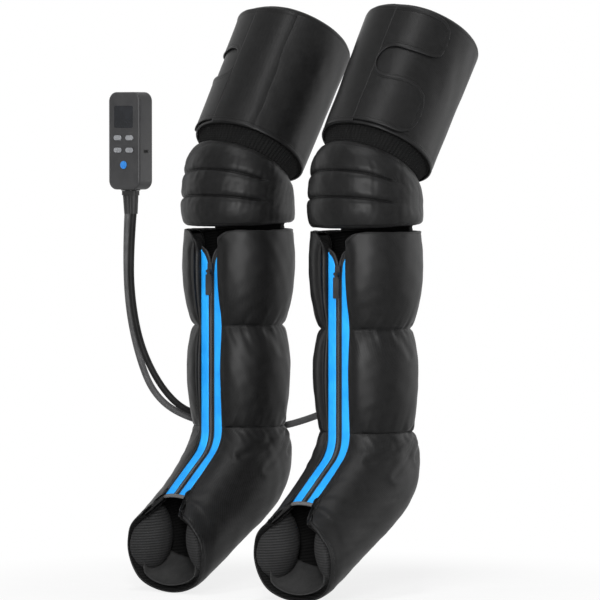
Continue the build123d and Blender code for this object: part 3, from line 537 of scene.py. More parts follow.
def mesh_piece(name, points, faces, uv, side, hem=None):
    """A closed mesh in metres from millimetres, mirrored for the left leg."""
    points = np.array(points, float)
    if side == "left":
        points[:, 0] = leg_pitch - points[:, 0]
    if hem is None:
        hem = np.full(len(points), unstitched)
    mesh = bpy.data.meshes.new(name)
    mesh.from_pydata((points * 0.001).tolist(), [], [list(map(int, face)) for face in faces])
    layer = mesh.uv_layers.new(name="cloth")
    layer.data.foreach_set("uv", np.concatenate(uv).astype(np.float32).ravel() * 0.001)
    hems = mesh.attributes.new("hem", "FLOAT", "POINT")
    hems.data.foreach_set("value", np.asarray(hem, np.float32) * 0.001)
    work = bmesh.new()
    work.from_mesh(mesh)
    bmesh.ops.recalc_face_normals(work, faces=work.faces)
    work.to_mesh(mesh)
    work.free()
    mesh.polygons.foreach_set("use_smooth", [True] * len(mesh.polygons))
    return placed(name, mesh)


def cells(grid):
    """The four corners of every cell of a grid, in order round the cell."""
    corners = np.stack([grid[:-1, :-1], grid[:-1, 1:], grid[1:, 1:], grid[1:, :-1]], 2)
    return corners.reshape(-1, 4, *grid.shape[2:])


def skin(name, grid, wall, uv, side, hem=None, ring=False):
    """A cloth skin: the outer grid, an inner one a wall behind it and rounded edges."""
    rows, columns = grid.shape[:2]
    count = rows * columns
    if hem is None:
        hem = np.full((rows, columns), unstitched)
    inner = grid - outward(grid, ring) * wall
    index = np.arange(count).reshape(rows, columns)
    if ring:
        loops = [index[0], index[-1][::-1]]
        index = np.concatenate([index, index[:, :1]], 1)
        lap = uv[:, -1:, :] + (uv[:, -1:, :] - uv[:, -2:-1, :])
        uv = np.concatenate([uv, lap], 1)
    else:
        sides = (index[0], index[1:, -1], index[-1, -2::-1], index[-2:0:-1, 0])
        loops = [np.concatenate(sides)]
    corners = cells(index)
    marks = cells(uv)
    faces = [corners, corners[:, ::-1] + count]
    flat_uv = [marks, marks[:, ::-1]]
    both = np.concatenate([grid.reshape(-1, 3), inner.reshape(-1, 3)])
    edge_points = []
    start = 2 * count
    plain_uv = uv[:, :columns].reshape(-1, 2)
    hems = [hem.ravel(), hem.ravel()]
    for loop in loops:
        row = np.clip(loop // columns, 1, rows - 2) if rows > 2 else loop // columns
        column = loop % columns if ring else np.clip(loop % columns, 1, columns - 2)
        middle = (both[loop] + both[loop + count]) / 2
        out = both[loop] - both[row * columns + column]
        through = both[loop] - both[loop + count]
        through /= np.maximum(np.linalg.norm(through, axis=1, keepdims=True), 1e-9)
        out -= through * np.sum(out * through, 1, keepdims=True)
        out /= np.maximum(np.linalg.norm(out, axis=1, keepdims=True), 1e-9)
        edge_points.append(middle + out * wall * 0.45)
        hems.append(hem.ravel()[loop])
        rim = start + np.arange(len(loop))
        start += len(loop)
        step = np.roll(np.arange(len(loop)), -1)
        faces.append(np.stack([loop, rim, rim[step], loop[step]], 1))
        faces.append(np.stack([rim, loop + count, loop[step] + count, rim[step]], 1))
        at = plain_uv[loop]
        for _ in range(2):
            flat_uv.append(np.stack([at, at, at[step], at[step]], 1))
    points = np.concatenate([both, *edge_points])
    flat_uv = np.concatenate(flat_uv)
    return mesh_piece(name, points, np.concatenate(faces), flat_uv, side, np.concatenate(hems))


def woven(dark, light, pitch=0.0030, relief=0.00016, rough=0.42, stitches=True):
    """Recipe for a coarse plain weave with slubs and stitches, with a painted highlight along its
    hems and painted shade along its stitch rows.
    """
    def recipe(start):
        u, v = start.node("ShaderNodeUVMap", {"uv_map": "cloth"}).axes("XY")
        turn = 2 * math.pi / pitch
        threads = (u * turn + v * (turn * 0.35)).sine() * (v * turn - u * (turn * 0.2)).sine()
        speckle = start.grain(pitch * 1.1, 3, 0.75)
        slub = start.grain(0.012, 3, 0.6)
        height = (threads * 0.5 + 0.5) * 0.55 + speckle * 0.45
        worn = (height * 0.72 + slub * 0.28).within(0.34, 0.66)
        normal = start.bump(height, relief)
        if stitches:
            hem = start.node("ShaderNodeAttribute", {"attribute_name": "hem"}, out="Fac")
            # A dark line of painted shade along each stitch row, which also places the stitches.
            stitch_row_and_painted_shade = 1 - (hem - stitch_line * 0.001).size().within(0.0003, 0.0010)
            dash = ((u + v) * (2 * math.pi / 0.0036)).sine().within(-0.35, 0.1)
            thread = stitch_row_and_painted_shade * dash
            # A lighter band along each hem: a painted highlight.
            painted_hem_highlight = 1 - hem.within(0.0012, 0.0034)
            # The cloth's tone here also takes the painted hem highlight and the painted stitch-row
            # shade.
            worn = worn * 0.85 + painted_hem_highlight * 0.25 - stitch_row_and_painted_shade * 0.5 + thread * 0.3
            normal = start.bump(thread, 0.0006, Normal=normal)
        return {
            "Base Color": worn.blend(dark, light),
            "Roughness": rough + speckle * 0.12,
            "Normal": normal,
        }
    return recipe


cover_look = finish(
    "black_polyester", woven((0.001, 0.001, 0.001), (0.010, 0.010, 0.0102), rough=0.36),
    Specular_IOR_Level=0.13,
)

boot_grid = np.concatenate([calf_grid, foot_grid[1:]])
ankle_row = len(calf_grid) - 1
side_run = run_along(boot_grid, 1)
around = side_run - side_run[:, side_run.shape[1] // 2, None]
down = run_along(boot_grid, 0)
corner_column = 5            # the columns before it are the turned-in edge
from_slot = np.minimum(
    side_run - side_run[:, corner_column, None], side_run[:, -1 - corner_column, None] - side_run
)
# Distance to the nearest hem, where the cloth paints a highlight band and a stitch row with painted
# shade.
hem = np.minimum(from_slot, np.minimum(down, down[-1] - down)).clip(0)
off_hem = np.clip(hem / 9, 0, 1)          # the cloth lies flat at its hems
waist_row = int(np.argmin(np.abs(calf_drops - waist_drop)))
around_share = side_run / side_run[:, -1:]
# The chambers' seams get stitch rows too, each with its dark line of painted shade.
for row in (waist_row, ankle_row):
    hem = np.minimum(hem, stitch_line + np.abs(down - down[row]) * np.clip(16 - from_slot, 1, 16))
folds = [                    # path, depth and width of each lasting crease
    ([(67, 30, -308), (73, -23, -339), (58, -66, -356)], 1.8, 5.5),
    ([(60, 47, -312), (80, 8, -352), (84, -30, -378)], 1.8, 5.5),
    ([(20, 72, -314), (52, 60, -330), (72, 36, -352)], 1.8, 5.5),
    ([(76, -16, -158), (80, -4, -170), (82, 8, -190)], 1.3, 7.0),
]
for side in ("right", "left"):
    seed = 11 if side == "right" else 23
    shift = rumple(around, down, seed, [(0.42, 70, 0.6), (0.2, 24, 0.8)])
    off_waist = down - down[waist_row]
    off_ankle = down - down[ankle_row]
    shift += puckers(around, off_waist, seed + 1, 1.9, 21, 14)
    shift += puckers(around, off_ankle, seed + 2, 1.6, 26, 15)
    shift += puckers(around, down, seed + 3, 0.5, 30, 12)
    pinched = np.clip(from_slot / 24, 0, 1)
    under = hump(np.abs(around_share - 0.5) - 0.18, 0.045) * fading(off_waist + 7, 8)
    shift -= pinched * (4.6 * fading(off_waist, 6.5) + 1.8 * fading(off_ankle, 5) + 1.8 * under)
    for path, depth, width in folds:
        for sense in (1, -1):
            shift += fold(boot_grid, np.array(path) * [sense, 1, 1], depth, width)
    deepest = 2.2 + 3.6 * fading(off_waist, 4) + 1.8 * fading(off_ankle, 4)
    shift = np.maximum(shift, -deepest)
    shift *= off_hem
    shift -= 0.5 * hump(hem - 6.5, 1.3) * (from_slot > 0)    # the stitches' own groove
    laid = boot_grid + outward(boot_grid) * shift[..., None]
    uv = np.stack([around, down], -1)
    for name, part in (("calf", slice(0, ankle_row + 1)), ("foot", slice(ankle_row, None))):
        cover = skin(
            f"{side}_{name}_cover_cloth", laid[part], cover_wall, uv[part], side, hem[part]
        )
        cover.data.materials.append(cover_look)
        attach(cover, "boots")
        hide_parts(f"{side}_{name}_cover")

# ------------------------------------------------------------------ toe bridge
# A short folded band of the cover's cloth is sewn across the slot just past the zipper's
# lower end. Its raw edges are bound in a thin grey tape.
bridge_look = finish(
    "grey_binding", woven((0.045, 0.045, 0.046), (0.105, 0.105, 0.107), 0.0014, 0.0002, 0.7, False)
)
bridge_wall = 2.8
slope_down = np.array([0, *down_instep])
slope_out = np.array([0, -math.sin(instep_slope), math.cos(instep_slope)])
instep_top = next(
    half[0] for half in (foot_half(s) for s in np.linspace(4, 8, 161))
    if past_zip_end(half[0, 1:]) > 0
)
reach_down = np.array([0.2, 1.2, 3.5, 5.8, 6.8])         # across the band, down the instep
bulge = np.array([-1.2, 0.1, 0.5, 0.1, -1.2])            # how far it stands out there
cross = np.linspace(-slot_half_width - 0.6, slot_half_width + 0.6, 23)
crown = -(cross / slot_half_width) ** 2 * 3.1 - 0.3
bridge_grid = (
    instep_top + reach_down[:, None, None] * slope_down
    + (bulge[:, None, None] + crown[:, None]) * slope_out + cross[:, None] * np.array([1.0, 0, 0])
)
for side in ("right", "left"):
    flat = np.stack(np.broadcast_arrays(cross, reach_down[:, None]), -1)
    band = skin(f"{side}_toe_bridge", bridge_grid, bridge_wall, flat, side)
    band.data.materials.append(bridge_look)
    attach(band, "boots")

# ------------------------------------------------------------------ linings
# Warp-knit mesh lines each boot. At the calf rim it rolls over the chamber's edge to meet
# the cover, and in the forefoot it wraps two inflated side cushions.
leg_bore = 60.0
lining_wall = 2.5
lining_gap = 24.3            # half width of the lining's front opening
lip_radius = 6.0             # the lining rolls over the calf rim at this radius


def netted(dark, light, pitch, relief, rough=0.85):
    """Recipe for a knitted mesh: rows of small holes, every other row moved by half a hole."""
    def recipe(start):
        x, y, z = start.node("ShaderNodeTexCoord", out="Object").axes("XYZ")
        turn = 2 * math.pi / pitch
        across = (x * 0.8 + y * 0.6) * turn
        along = (z - y * 0.1) * (turn * 0.8)
        holes = (across + along * 0.5).sine() * (across - along * 0.5).sine()
        yarn = 1 - holes.within(-0.1, 0.5)
        soft = start.grain(0.02, 2)
        return {
            "Base Color": (yarn * 0.75 + soft * 0.25).blend(dark, light),
            "Roughness": rough - yarn * 0.1,
            "Normal": start.bump(yarn, relief),
        }
    return recipe


# A dark knitted mesh, coloured darker still than the cushions' mesh as painted shade for the deep
# inside of the boot and cuff.
shaded_lining_look = finish(
    "knitted_mesh_painted_shade", netted((0.001, 0.001, 0.001), (0.007, 0.007, 0.007), 0.0034, 0.0005),
    Specular_IOR_Level=0.05,
)
# Over the chamber's flat top first, then round the lip and down the leg.
lip_turns = np.linspace(0, math.pi / 2, 6)
lining_radii = np.concatenate([
    [84.0, 78.0, 70.0], leg_bore + lip_radius - lip_radius * np.sin(lip_turns),
    np.full(50, leg_bore),
])
lining_drops = np.concatenate([
    [1.6, 1.2, 1.2], 7.2 - lip_radius * np.cos(lip_turns), np.linspace(10, calf_length, 50),
])
lining_rows = []
for radius, drop in zip(lining_radii, lining_drops):
    start = math.asin(max(lining_gap, flap_edge(drop) + 1.5) / radius)
    turn_at = np.linspace(start, 2 * math.pi - start, 121)
    lining_rows.append(around_leg(radius, turn_at, -drop))
lining_grid = np.array(lining_rows)


def run_both(grid):
    """A grid's own two directions: distance along its rows, then down its columns."""
    return np.stack([run_along(grid, 1), run_along(grid, 0)], -1)


lining_uv = run_both(lining_grid)
for side in ("right", "left"):
    soft = rumple(lining_uv[..., 0], lining_uv[..., 1], 31, [(0.3, 40, 0.7)])
    laid = lining_grid - outward(lining_grid) * (soft * (lining_uv[..., 1] > 30))[..., None]
    lining = skin(
        f"{side}_calf_lining_cloth", laid[:, ::-1], lining_wall * 0.5, lining_uv[:, ::-1], side
    )
    lining.data.materials.append(shaded_lining_look)
    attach(lining, "boots")
    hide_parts(f"{side}_calf_lining")

lining_columns = 60
behind_cover = 3.3           # the lining's edges lie this much further from the gap


def lining_to_rim(inset, setback):
    """The foot lining's points at one inset, with every column run to the toe opening."""
    rows = []
    for station in np.linspace(0, 10, 161):
        edge = np.interp(past_zip_end(foot_half(station)[0, 1:]), *toe_gap) + behind_cover
        rows.append(whole(spaced(cut_at(foot_half(station, inset), edge), lining_columns)))
    return run_to_rim(rows, 56, setback, 145)


foot_lining_grid = lining_to_rim(11.0, 1.5)
hemmed = lining_to_rim(4.2, 1.2)
for row, share in ((-3, 0.06), (-2, 0.35), (-1, 1.0)):   # the last rows flare out to the hem
    foot_lining_grid[row] += share * (hemmed[row] - foot_lining_grid[row])
foot_lining_uv = run_both(foot_lining_grid)


def closed_tube(name, rings, side):
    """A tube of closed rings with flat ends, in millimetres."""
    count = rings.shape[1]
    index = np.arange(rings.shape[0] * count).reshape(-1, count)
    index = np.concatenate([index, index[:, :1]], 1)
    faces = [*map(list, cells(index)), list(index[0, :-1][::-1]), list(index[-1, :-1])]
    points = rings.reshape(-1, 3)
    uv = [points[face][:, [0, 2]] for face in faces]
    return mesh_piece(name, points, faces, uv, side)


def modify(piece, kind, **settings):
    """Apply a modifier to the piece's mesh."""
    modifier = piece.modifiers.new(kind.lower(), kind)
    for name, value in settings.items():
        setattr(modifier, name, value)
    view = bpy.context.evaluated_depsgraph_get()
    made = bpy.data.meshes.new_from_object(piece.evaluated_get(view))
    piece.modifiers.clear()
    piece.data = made


cushion_look = finish(
    "cushion_mesh", netted((0.003, 0.003, 0.003), (0.026, 0.026, 0.0265), 0.0034, 0.0005),
    Specular_IOR_Level=0.15,
)
cushion_place = np.array([80.0, -146.0, -480.0])
cushion_size = np.array([56.0, 44.0, 66.0])
inside_rings = []            # the forefoot's room, wider at the toe opening
for station in np.linspace(4, 10, 40):
    half = foot_half(station, np.interp(station, [8.2, 9.4], [11.4, 6.5]))
    inside_rings.append(np.concatenate([half[::4], half[-5:0:-4] * [-1, 1, 1]]))
insole_half_width = 52.0
insole_inset = 13.6          # from the cover to the insole's upper face
insole_rows = []
for station in np.linspace(7.2, 9.2, 24):
    half = foot_half(station, insole_inset)
    back = half[half[:, 0] < insole_half_width]
    back = back[len(back) // 2:]
    insole_rows.append(spaced(np.concatenate([back, back[-2::-1] * [-1, 1, 1]]), 41))
insole_grid = np.array(insole_rows)
insole_uv = run_both(insole_grid)
insole_look = finish(
    "insole_felt", woven((0.012, 0.012, 0.012), (0.034, 0.034, 0.034), 0.0016, 0.0002, 0.7, False),
    Specular_IOR_Level=0.15,
)
polar = np.linspace(0.02, math.pi - 0.02, 56)
round_about = np.linspace(0, 2 * math.pi, 72, endpoint=False)
ball = np.stack([
    np.sin(polar)[:, None] * np.cos(round_about), np.sin(polar)[:, None] * np.sin(round_about),
    np.cos(polar)[:, None] * np.ones(len(round_about)),
], -1)
halves = ((1, "inner"), (-1, "outer"))
for side in ("right", "left"):
    foot_lining = skin(
        f"{side}_foot_lining_cloth", foot_lining_grid[:, ::-1], lining_wall * 0.7,
        foot_lining_uv[:, ::-1], side,
    )
    foot_lining.data.materials.append(shaded_lining_look)
    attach(foot_lining, "boots")
    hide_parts(f"{side}_foot_lining")
    insole = skin(f"{side}_insole", insole_grid[::-1], 2.0, insole_uv[::-1], side)
    insole.data.materials.append(insole_look)
    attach(insole, "boots")
    for sense, label in halves:
        room = closed_tube("cushion_room", np.array(inside_rings), side)
        cushion = closed_tube(
            f"{side}_{label}_cushion", ball * cushion_size + cushion_place * [sense, 1, 1], side
        )
        modify(cushion, "BOOLEAN", operation="INTERSECT", object=room, solver="EXACT")
        bpy.data.objects.remove(room)
        modify(cushion, "REMESH", mode="VOXEL", voxel_size=0.0030)
        modify(cushion, "SMOOTH", factor=0.5, iterations=14)
        cushion.data.polygons.foreach_set("use_smooth", [True] * len(cushion.data.polygons))
        cushion.data.materials.clear()
        cushion.data.materials.append(cushion_look)
        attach(cushion, "boots")

# ------------------------------------------------------------------ zipper
# A coil zipper closes the front from the toe bridge up. Bright blue woven strips lie on
# both sides of its black tapes, and above the slider the two tapes part like a collar.
zip_run = run_along(zip_line, 0)
bend_start = zip_run[1]
bend_length = zip_run[len(bend)] - zip_run[1]
zip_length = zip_run[-2]     # the line's last point lies past the zipper's end
strip_half_width = 20.7
tape_half_width = 5.7
tape_front = 0.5
tooth_front = tape_front - 0.2
split_drop = 62.0            # the slider's place, above which the tapes part


def on_zip(run, x, depth):
    """Points on the zipper's face: run along it, x across and depth behind it."""
    run, x, depth = np.broadcast_arrays(run, x, depth)
    y = np.interp(run, zip_run, zip_line[:, 0])
    z = np.interp(run, zip_run, zip_line[:, 1])
    lean = np.clip((run - bend_start) / bend_length, 0, 1) * bend_angle
    return np.stack([x, y + depth * np.cos(lean), z - depth * np.sin(lean)], -1)


def parting(run, margin):
    """Half width of the gap between the parted tapes, widened by a margin."""
    drops = [23.5 + margin, 29.5 + margin, 41 + 0.7 * margin, split_drop + margin]
    widths = [slot_half_width + 3, 12.6 + 0.7 * margin, 4.5 + margin, margin]
    narrowing = smooth_curve(drops, widths, np.clip(run, drops[0], drops[-1]))
    return np.where(run >= drops[-1], margin, narrowing)


def ribbed(dark, light, pitch, relief, rough, diagonal=0.0):
    """Recipe for a woven tape with fine ribs across it."""
    def recipe(start):
        u, v = start.node("ShaderNodeUVMap", {"uv_map": "cloth"}).axes("XY")
        turn = 2 * math.pi / pitch
        ribs = (v * turn + u.size() * (turn * diagonal)).sine() * 0.5 + 0.5
        fuzz = start.grain(0.0009, 2, 0.6)
        soft = start.grain(0.03, 2)
        height = ribs * 0.65 + fuzz * 0.35
        return {
            "Base Color": (height * 0.5 + soft * 0.5).within(0.25, 0.8).blend(dark, light),
            "Roughness": rough + fuzz * 0.1,
            "Normal": start.bump(height, relief),
        }
    return recipe


blue_look = finish(
    "blue_strip", ribbed((0.006, 0.22, 0.64), (0.024, 0.38, 0.88), 0.0012, 0.00012, 0.55),
    Specular_IOR_Level=0.2,
)
tape_look = finish(
    "black_tape", ribbed((0.006, 0.006, 0.006), (0.026, 0.026, 0.027), 0.0011, 0.00018, 0.7, 0.6),
    Specular_IOR_Level=0.15,
)
tooth_look = finish(
    "black_nylon", moulded((0.018, 0.018, 0.019), (0.032, 0.032, 0.034), 0.38, 0.0004, 0.00002),
    Coat_Weight=0.15,
)


def tape_edge(run):
    """Half width to the tapes' outer edges, which follow the parting above the slider."""
    return np.minimum(parting(run, tape_half_width), strip_half_width)


def zip_piece(name, inner_margin, outer, top, depth, wall, crown, side, sense):
    """One strip of the zipper's face, between the parting's margin and an outer edge."""
    bend_end = bend_start + bend_length
    runs = np.concatenate([
        top + 46 * np.linspace(0, 1, 26) ** 1.5, np.linspace(top + 50, bend_start - 2, 40),
        np.linspace(bend_start, bend_end, 16), np.linspace(bend_end + 4, zip_length, 16),
    ])
    inner = parting(runs, inner_margin)
    outer = outer(runs) if callable(outer) else outer
    reach = np.maximum(outer, inner + 0.35)   # never less than a narrow edge
    share = np.linspace(0, 1, 9)
    x = inner[:, None] + (reach - inner)[:, None] * share
    swell = crown * (1 - (2 * share - 1) ** 4)
    grid = on_zip(runs[:, None], x * sense, depth - swell[None, :])
    uv = np.stack([x, np.broadcast_to(runs[:, None], x.shape)], -1)
    if sense < 0:
        grid = grid[:, ::-1]
        uv = uv[:, ::-1]
    return skin(name, grid, wall, uv, side)


def tooth(run, x, depth, size):
    """Corner points of one coil turn, a small block with narrower ends."""
    length, width, height = size
    corners = []
    for along, narrow in ((-0.5, 0.7), (-0.28, 1.0), (0.28, 1.0), (0.5, 0.7)):
        for across, out in ((-0.5, 0.15), (-0.36, 1.0), (0.36, 1.0), (0.5, 0.15)):
            sideways = x + across * width * narrow
            corners.append((run + along * length, sideways, depth - out * height))
    return corners


tooth_faces = [tuple(face) for face in cells(np.arange(16).reshape(4, 4))]
tooth_faces += [(3, 2, 1, 0), (12, 13, 14, 15), (0, 4, 8, 12, 15, 11, 7, 3)]
for side in ("right", "left"):
    strips = [
        zip_piece(
            f"{side}_blue_strip_{label}", tape_half_width + 0.3, strip_half_width, 32.6,
            0.1, 2.2, 0.7, side, sense,
        )
        for sense, label in halves
    ]
    for strip in strips:
        strip.data.materials.append(blue_look)
        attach(strip, "boots")
    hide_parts(f"{side}_zip_placket")
    tapes = [
        zip_piece(
            f"{side}_zip_tape_{label}", 0.12, tape_edge, 25.4, tape_front, 1.4, 0.0, side, sense
        )
        for sense, label in halves
    ]
    for tape in tapes:
        tape.data.materials.append(tape_look)
        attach(tape, "boots")
    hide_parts(f"{side}_zip_tape")
    turns = []
    for number, run in enumerate(np.arange(split_drop + 7, zip_length - 1, 1.25)):
        turns.append(tooth(run, 0.85 * (-1) ** number, tooth_front, (1.5, 3.2, 1.8)))
    for run in np.arange(27.0, split_drop + 6, 1.5):   # on each tape alone, above the slider
        for sense in (1, -1):
            x = float(parting(np.array(run), 0.0)) + 0.9
            turns.append(tooth(run, sense * x, tooth_front, (1.2, 2.0, 1.7)))
    points = np.array(turns).reshape(-1, 3)
    faces = [tuple(16 * n + k for k in face) for n in range(len(turns)) for face in tooth_faces]
    uv = [points[list(face)][:, :2] for face in faces]
    coil = mesh_piece(f"{side}_zip_coil", on_zip(*points.T), faces, uv, side)
    coil.data.materials.append(tooth_look)
    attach(coil, "boots")

# ------------------------------------------------------------------ knee pads
# A padded wrap over the kneecap: three stuffed ridges are sewn across its front, and
# smooth panels join them at the sides. Its cloth is the covers' polyester.
knee_stations = np.array([   # centre (y, z), tilt in degrees, front and back radius
    [0, 9.6, -3, 78.5, 78.5],
    [0, 14, -1.5, 86.2, 86.2],
    [-2, 26, 4, 89.2, 89.2],
    [-1, 40, 10, 88.9, 88.9],
    [-1, 53.5, 14.5, 89.3, 88.5],
    [1, 67.6, 19.5, 88.6, 88.2],
    [3, 84, 25.5, 87.6, 86.2],
    [6.5, 95.5, 30.5, 82.4, 80.4],
    [8, 99.9, 32, 76, 76],
])
knee_bore = np.array([
    [8, 99.6, 32, 70, 70],
    [7.6, 98, 31.5, 64, 64],
    [1, 67.6, 19.5, 64, 64],
    [-1, 40, 10, 64, 64],
    [0, 12, -2, 64, 64],
    [0, 9.8, -3, 70, 70],
])
panel_turn = math.radians(73)   # the side seams, from the front
pad_radius = 88
knee_turn = np.linspace(0, 2 * math.pi, 200, endpoint=False)


def knee_rings(stations, at):
    """Tilted rings round the knee, from (y, z, tilt, front, back) rows."""
    y, z, tilt, front, back = smooth_curve(np.arange(len(stations)), stations, at).T[:, :, None]
    tilt = np.radians(tilt)
    radius = (front + back) / 2
    local = (back - front) / 2 - radius * np.cos(knee_turn)
    x = radius * np.sin(knee_turn)
    return np.stack([x, y + local * np.cos(tilt), z - local * np.sin(tilt)], -1)


def torus_piece(name, grid, uv, side, hem):
    """A closed mesh from a grid that wraps both ways, such as a padded ring."""
    rows, columns = grid.shape[:2]
    index = np.arange(rows * columns).reshape(rows, columns)
    index = np.pad(index, ((0, 1), (0, 1)), mode="wrap")
    uv = np.concatenate([uv, 2 * uv[:, -1:] - uv[:, -2:-1]], 1)
    uv = np.concatenate([uv, 2 * uv[-1:] - uv[-2:-1]], 0)
    return mesh_piece(name, grid.reshape(-1, 3), cells(index), cells(uv), side, hem.ravel())


grooves = (3, 5)             # the stations of the two seams between the ridges
near_groove = np.array([-0.14, -0.08, -0.04, 0, 0.04, 0.08, 0.14])
pad_at = np.concatenate([
    np.linspace(0, 1, 5), np.linspace(1.1, 2.8, 16), grooves[0] + near_groove,
    np.linspace(3.2, 4.8, 16), grooves[1] + near_groove,
    np.linspace(5.2, 6.9, 16), np.linspace(7, 8, 6),
])
pad_grid = knee_rings(knee_stations, pad_at)
pad_down = run_along(pad_grid, 0)
pad_around = run_along(pad_grid, 1)
pad_from_edge = np.minimum(pad_down, pad_down[-1] - pad_down)
from_front = np.abs((knee_turn + math.pi) % (2 * math.pi) - math.pi)
ridged = np.clip((panel_turn - from_front) / math.radians(11), 0, 1)
ridged = ridged ** 2 * (3 - 2 * ridged)
groove_rows = [int(np.argmin(np.abs(pad_at - groove))) for groove in grooves]
bore_grid = knee_rings(knee_bore, np.linspace(0, 5, 18))
for side in ("right", "left"):
    seed = 41 if side == "right" else 43
    shift = rumple(pad_around, pad_down, seed, [(0.35, 45, 1.2), (0.14, 14, 1.0)])
    for row in groove_rows:
        off = pad_down - pad_down[row]
        shift -= ridged * (3.4 * fading(off, 1.5) + 1.8 * fading(off, 6))
        shift += ridged * 0.7 * hump(np.abs(off) - 8.5, 5)
        shift += ridged * puckers(pad_around, off, seed + row, 0.9, 15, 7)
    seam = (from_front - panel_turn) * pad_radius
    shift -= 0.6 * hump(seam, 4) * np.clip(pad_from_edge / 6, 0, 1)
    shift += puckers(pad_down, seam, seed + 5, 0.6, 13, 9)
    shift = np.minimum(shift + 2.0, 3.4)      # no ridge stands out past this
    shift *= np.clip(pad_from_edge / 4, 0, 1)
    laid = pad_grid - outward(pad_grid, True) * shift[..., None]
    whole_pad = np.concatenate([laid, bore_grid])
    uv = run_both(whole_pad)
    hem = pad_from_edge - 4
    hem = np.where(hem < 0, 30, hem)          # no painted highlight along the very edge
    # The grooves' stitch rows, each with its dark line of painted shade where the pad is ridged.
    for row in groove_rows:
        hem = np.minimum(hem, stitch_line + np.abs(pad_down - pad_down[row]) + (1 - ridged) * 30)
    hem = np.concatenate([hem, np.full(bore_grid.shape[:2], 30.0)])
    pad = torus_piece(f"{side}_knee_pad_cloth", whole_pad, uv, side, hem)
    pad.data.materials.append(cover_look)
    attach(pad, f"{side}_knee")
    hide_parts(f"{side}_knee_pad")

# ------------------------------------------------------------------ knee straps
# A band of smooth elastic behind each knee is sewn to the calf boot and to the knee pad.
strap_look = finish(
    "black_elastic", ribbed((0.004, 0.004, 0.004), (0.014, 0.014, 0.014), 0.0022, 0.00035, 0.8),
    Specular_IOR_Level=0.08,
)
half_strap = 70.8            # degrees to each side of the back
strap_turn = np.linspace(math.radians(180 - half_strap), math.radians(180 + half_strap), 90)
strap_share = np.linspace(0, 1, 12)
strap_low = -5.4
strap_top = 9.0 - 72 * np.cos(strap_turn) * math.sin(math.radians(3))   # follows the pad's tilt
strap_z = strap_low + (strap_top - strap_low) * strap_share[:, None]
strap_radius = 72.7 + 0.5 * np.sin(strap_share[:, None] * math.pi * 5)
strap_grid = around_leg(strap_radius, strap_turn, strap_z[::-1])
strap_uv = run_both(strap_grid)
for side in ("right", "left"):
    strap = skin(f"{side}_knee_strap_cloth", strap_grid, 2.4, strap_uv, side)
    strap.data.materials.append(strap_look)
    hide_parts(f"{side}_knee_strap")
    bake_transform(strap)

# ------------------------------------------------------------------ knee gaiters
# A pleated stretch band joins each knee pad to its thigh cuff and covers the leg between them. It
# is rib-knit, black and less shiny than the covers.
gaiter_look = finish(
    "rib_knit", netted((0.0015, 0.0015, 0.0015), (0.011, 0.011, 0.011), 0.0022, 0.0004, 0.9),
    Specular_IOR_Level=0.05,
)


def leaning(y, z, tilt, points):
    """Local (x, y, z) points on a plane across the leg whose normal leans back."""
    tilt = math.radians(tilt)
    x, forth, up = points[..., 0], points[..., 1], points[..., 2]
    return np.stack([
        x,
        y + forth * math.cos(tilt) + up * math.sin(tilt),
        z - forth * math.sin(tilt) + up * math.cos(tilt),
    ], -1)


gaiter_turn = np.linspace(0, 2 * math.pi, 480, endpoint=False)
pleat = 0.9 * np.sin(gaiter_turn * 80)
cuff_seat = (26.7, 122.6, 32.5)   # y, z and lean in degrees of the cuff's lower rim
gaiter_foot = leaning(8, 100, 32, around_leg(74.3 + pleat, gaiter_turn, 0.4))
gaiter_head = leaning(*cuff_seat, around_leg(83.3 + pleat, gaiter_turn, -0.4))
gaiter_share = np.linspace(0, 1, 12)[:, None, None]
gaiter_grid = gaiter_head * (1 - gaiter_share) + gaiter_foot * gaiter_share
gaiter_uv = run_both(gaiter_grid)
for side in ("right", "left"):
    gaiter = skin(f"{side}_knee_gaiter_cloth", gaiter_grid, 1.4, gaiter_uv, side, ring=True)
    gaiter.data.materials.append(gaiter_look)
    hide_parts(f"{side}_knee_gaiter")
    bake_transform(gaiter)

# ------------------------------------------------------------------ thigh cuffs
# The cuff is a wide inflatable ring in the covers' cloth, with a rolled upper edge. A
# second layer wraps its front and ends in two rounded hook-and-loop tongues.
thigh_length = 220.0
thigh_radius = 91.0
top_rounding = 9.0
tab_root = math.radians(8)   # from the front, where the tongues' hinges are
cuff_turn = np.linspace(0, 2 * math.pi, 180, endpoint=False)
cuff_flare = 0.04            # share by which the cuff's top is wider than its foot
tab_radius = thigh_radius + 2.8


def on_thigh(points):
    """Points in the cuff's frame, widened towards its top except at the tongues' root."""
    off_root = np.arctan2(points[..., :1], -points[..., 1:2]) + tab_root
    widened = cuff_flare * (1 - hump(off_root, 0.42))
    flare = 1 + widened * points[..., 2:] / thigh_length * [1, 1, 0]
    return leaning(*cuff_seat, points * flare)


def drum(radii, heights, turn_at):
    """Rings of those radii and heights about the cuff's own axis."""
    return around_leg(radii[:, None], turn_at, heights[:, None])


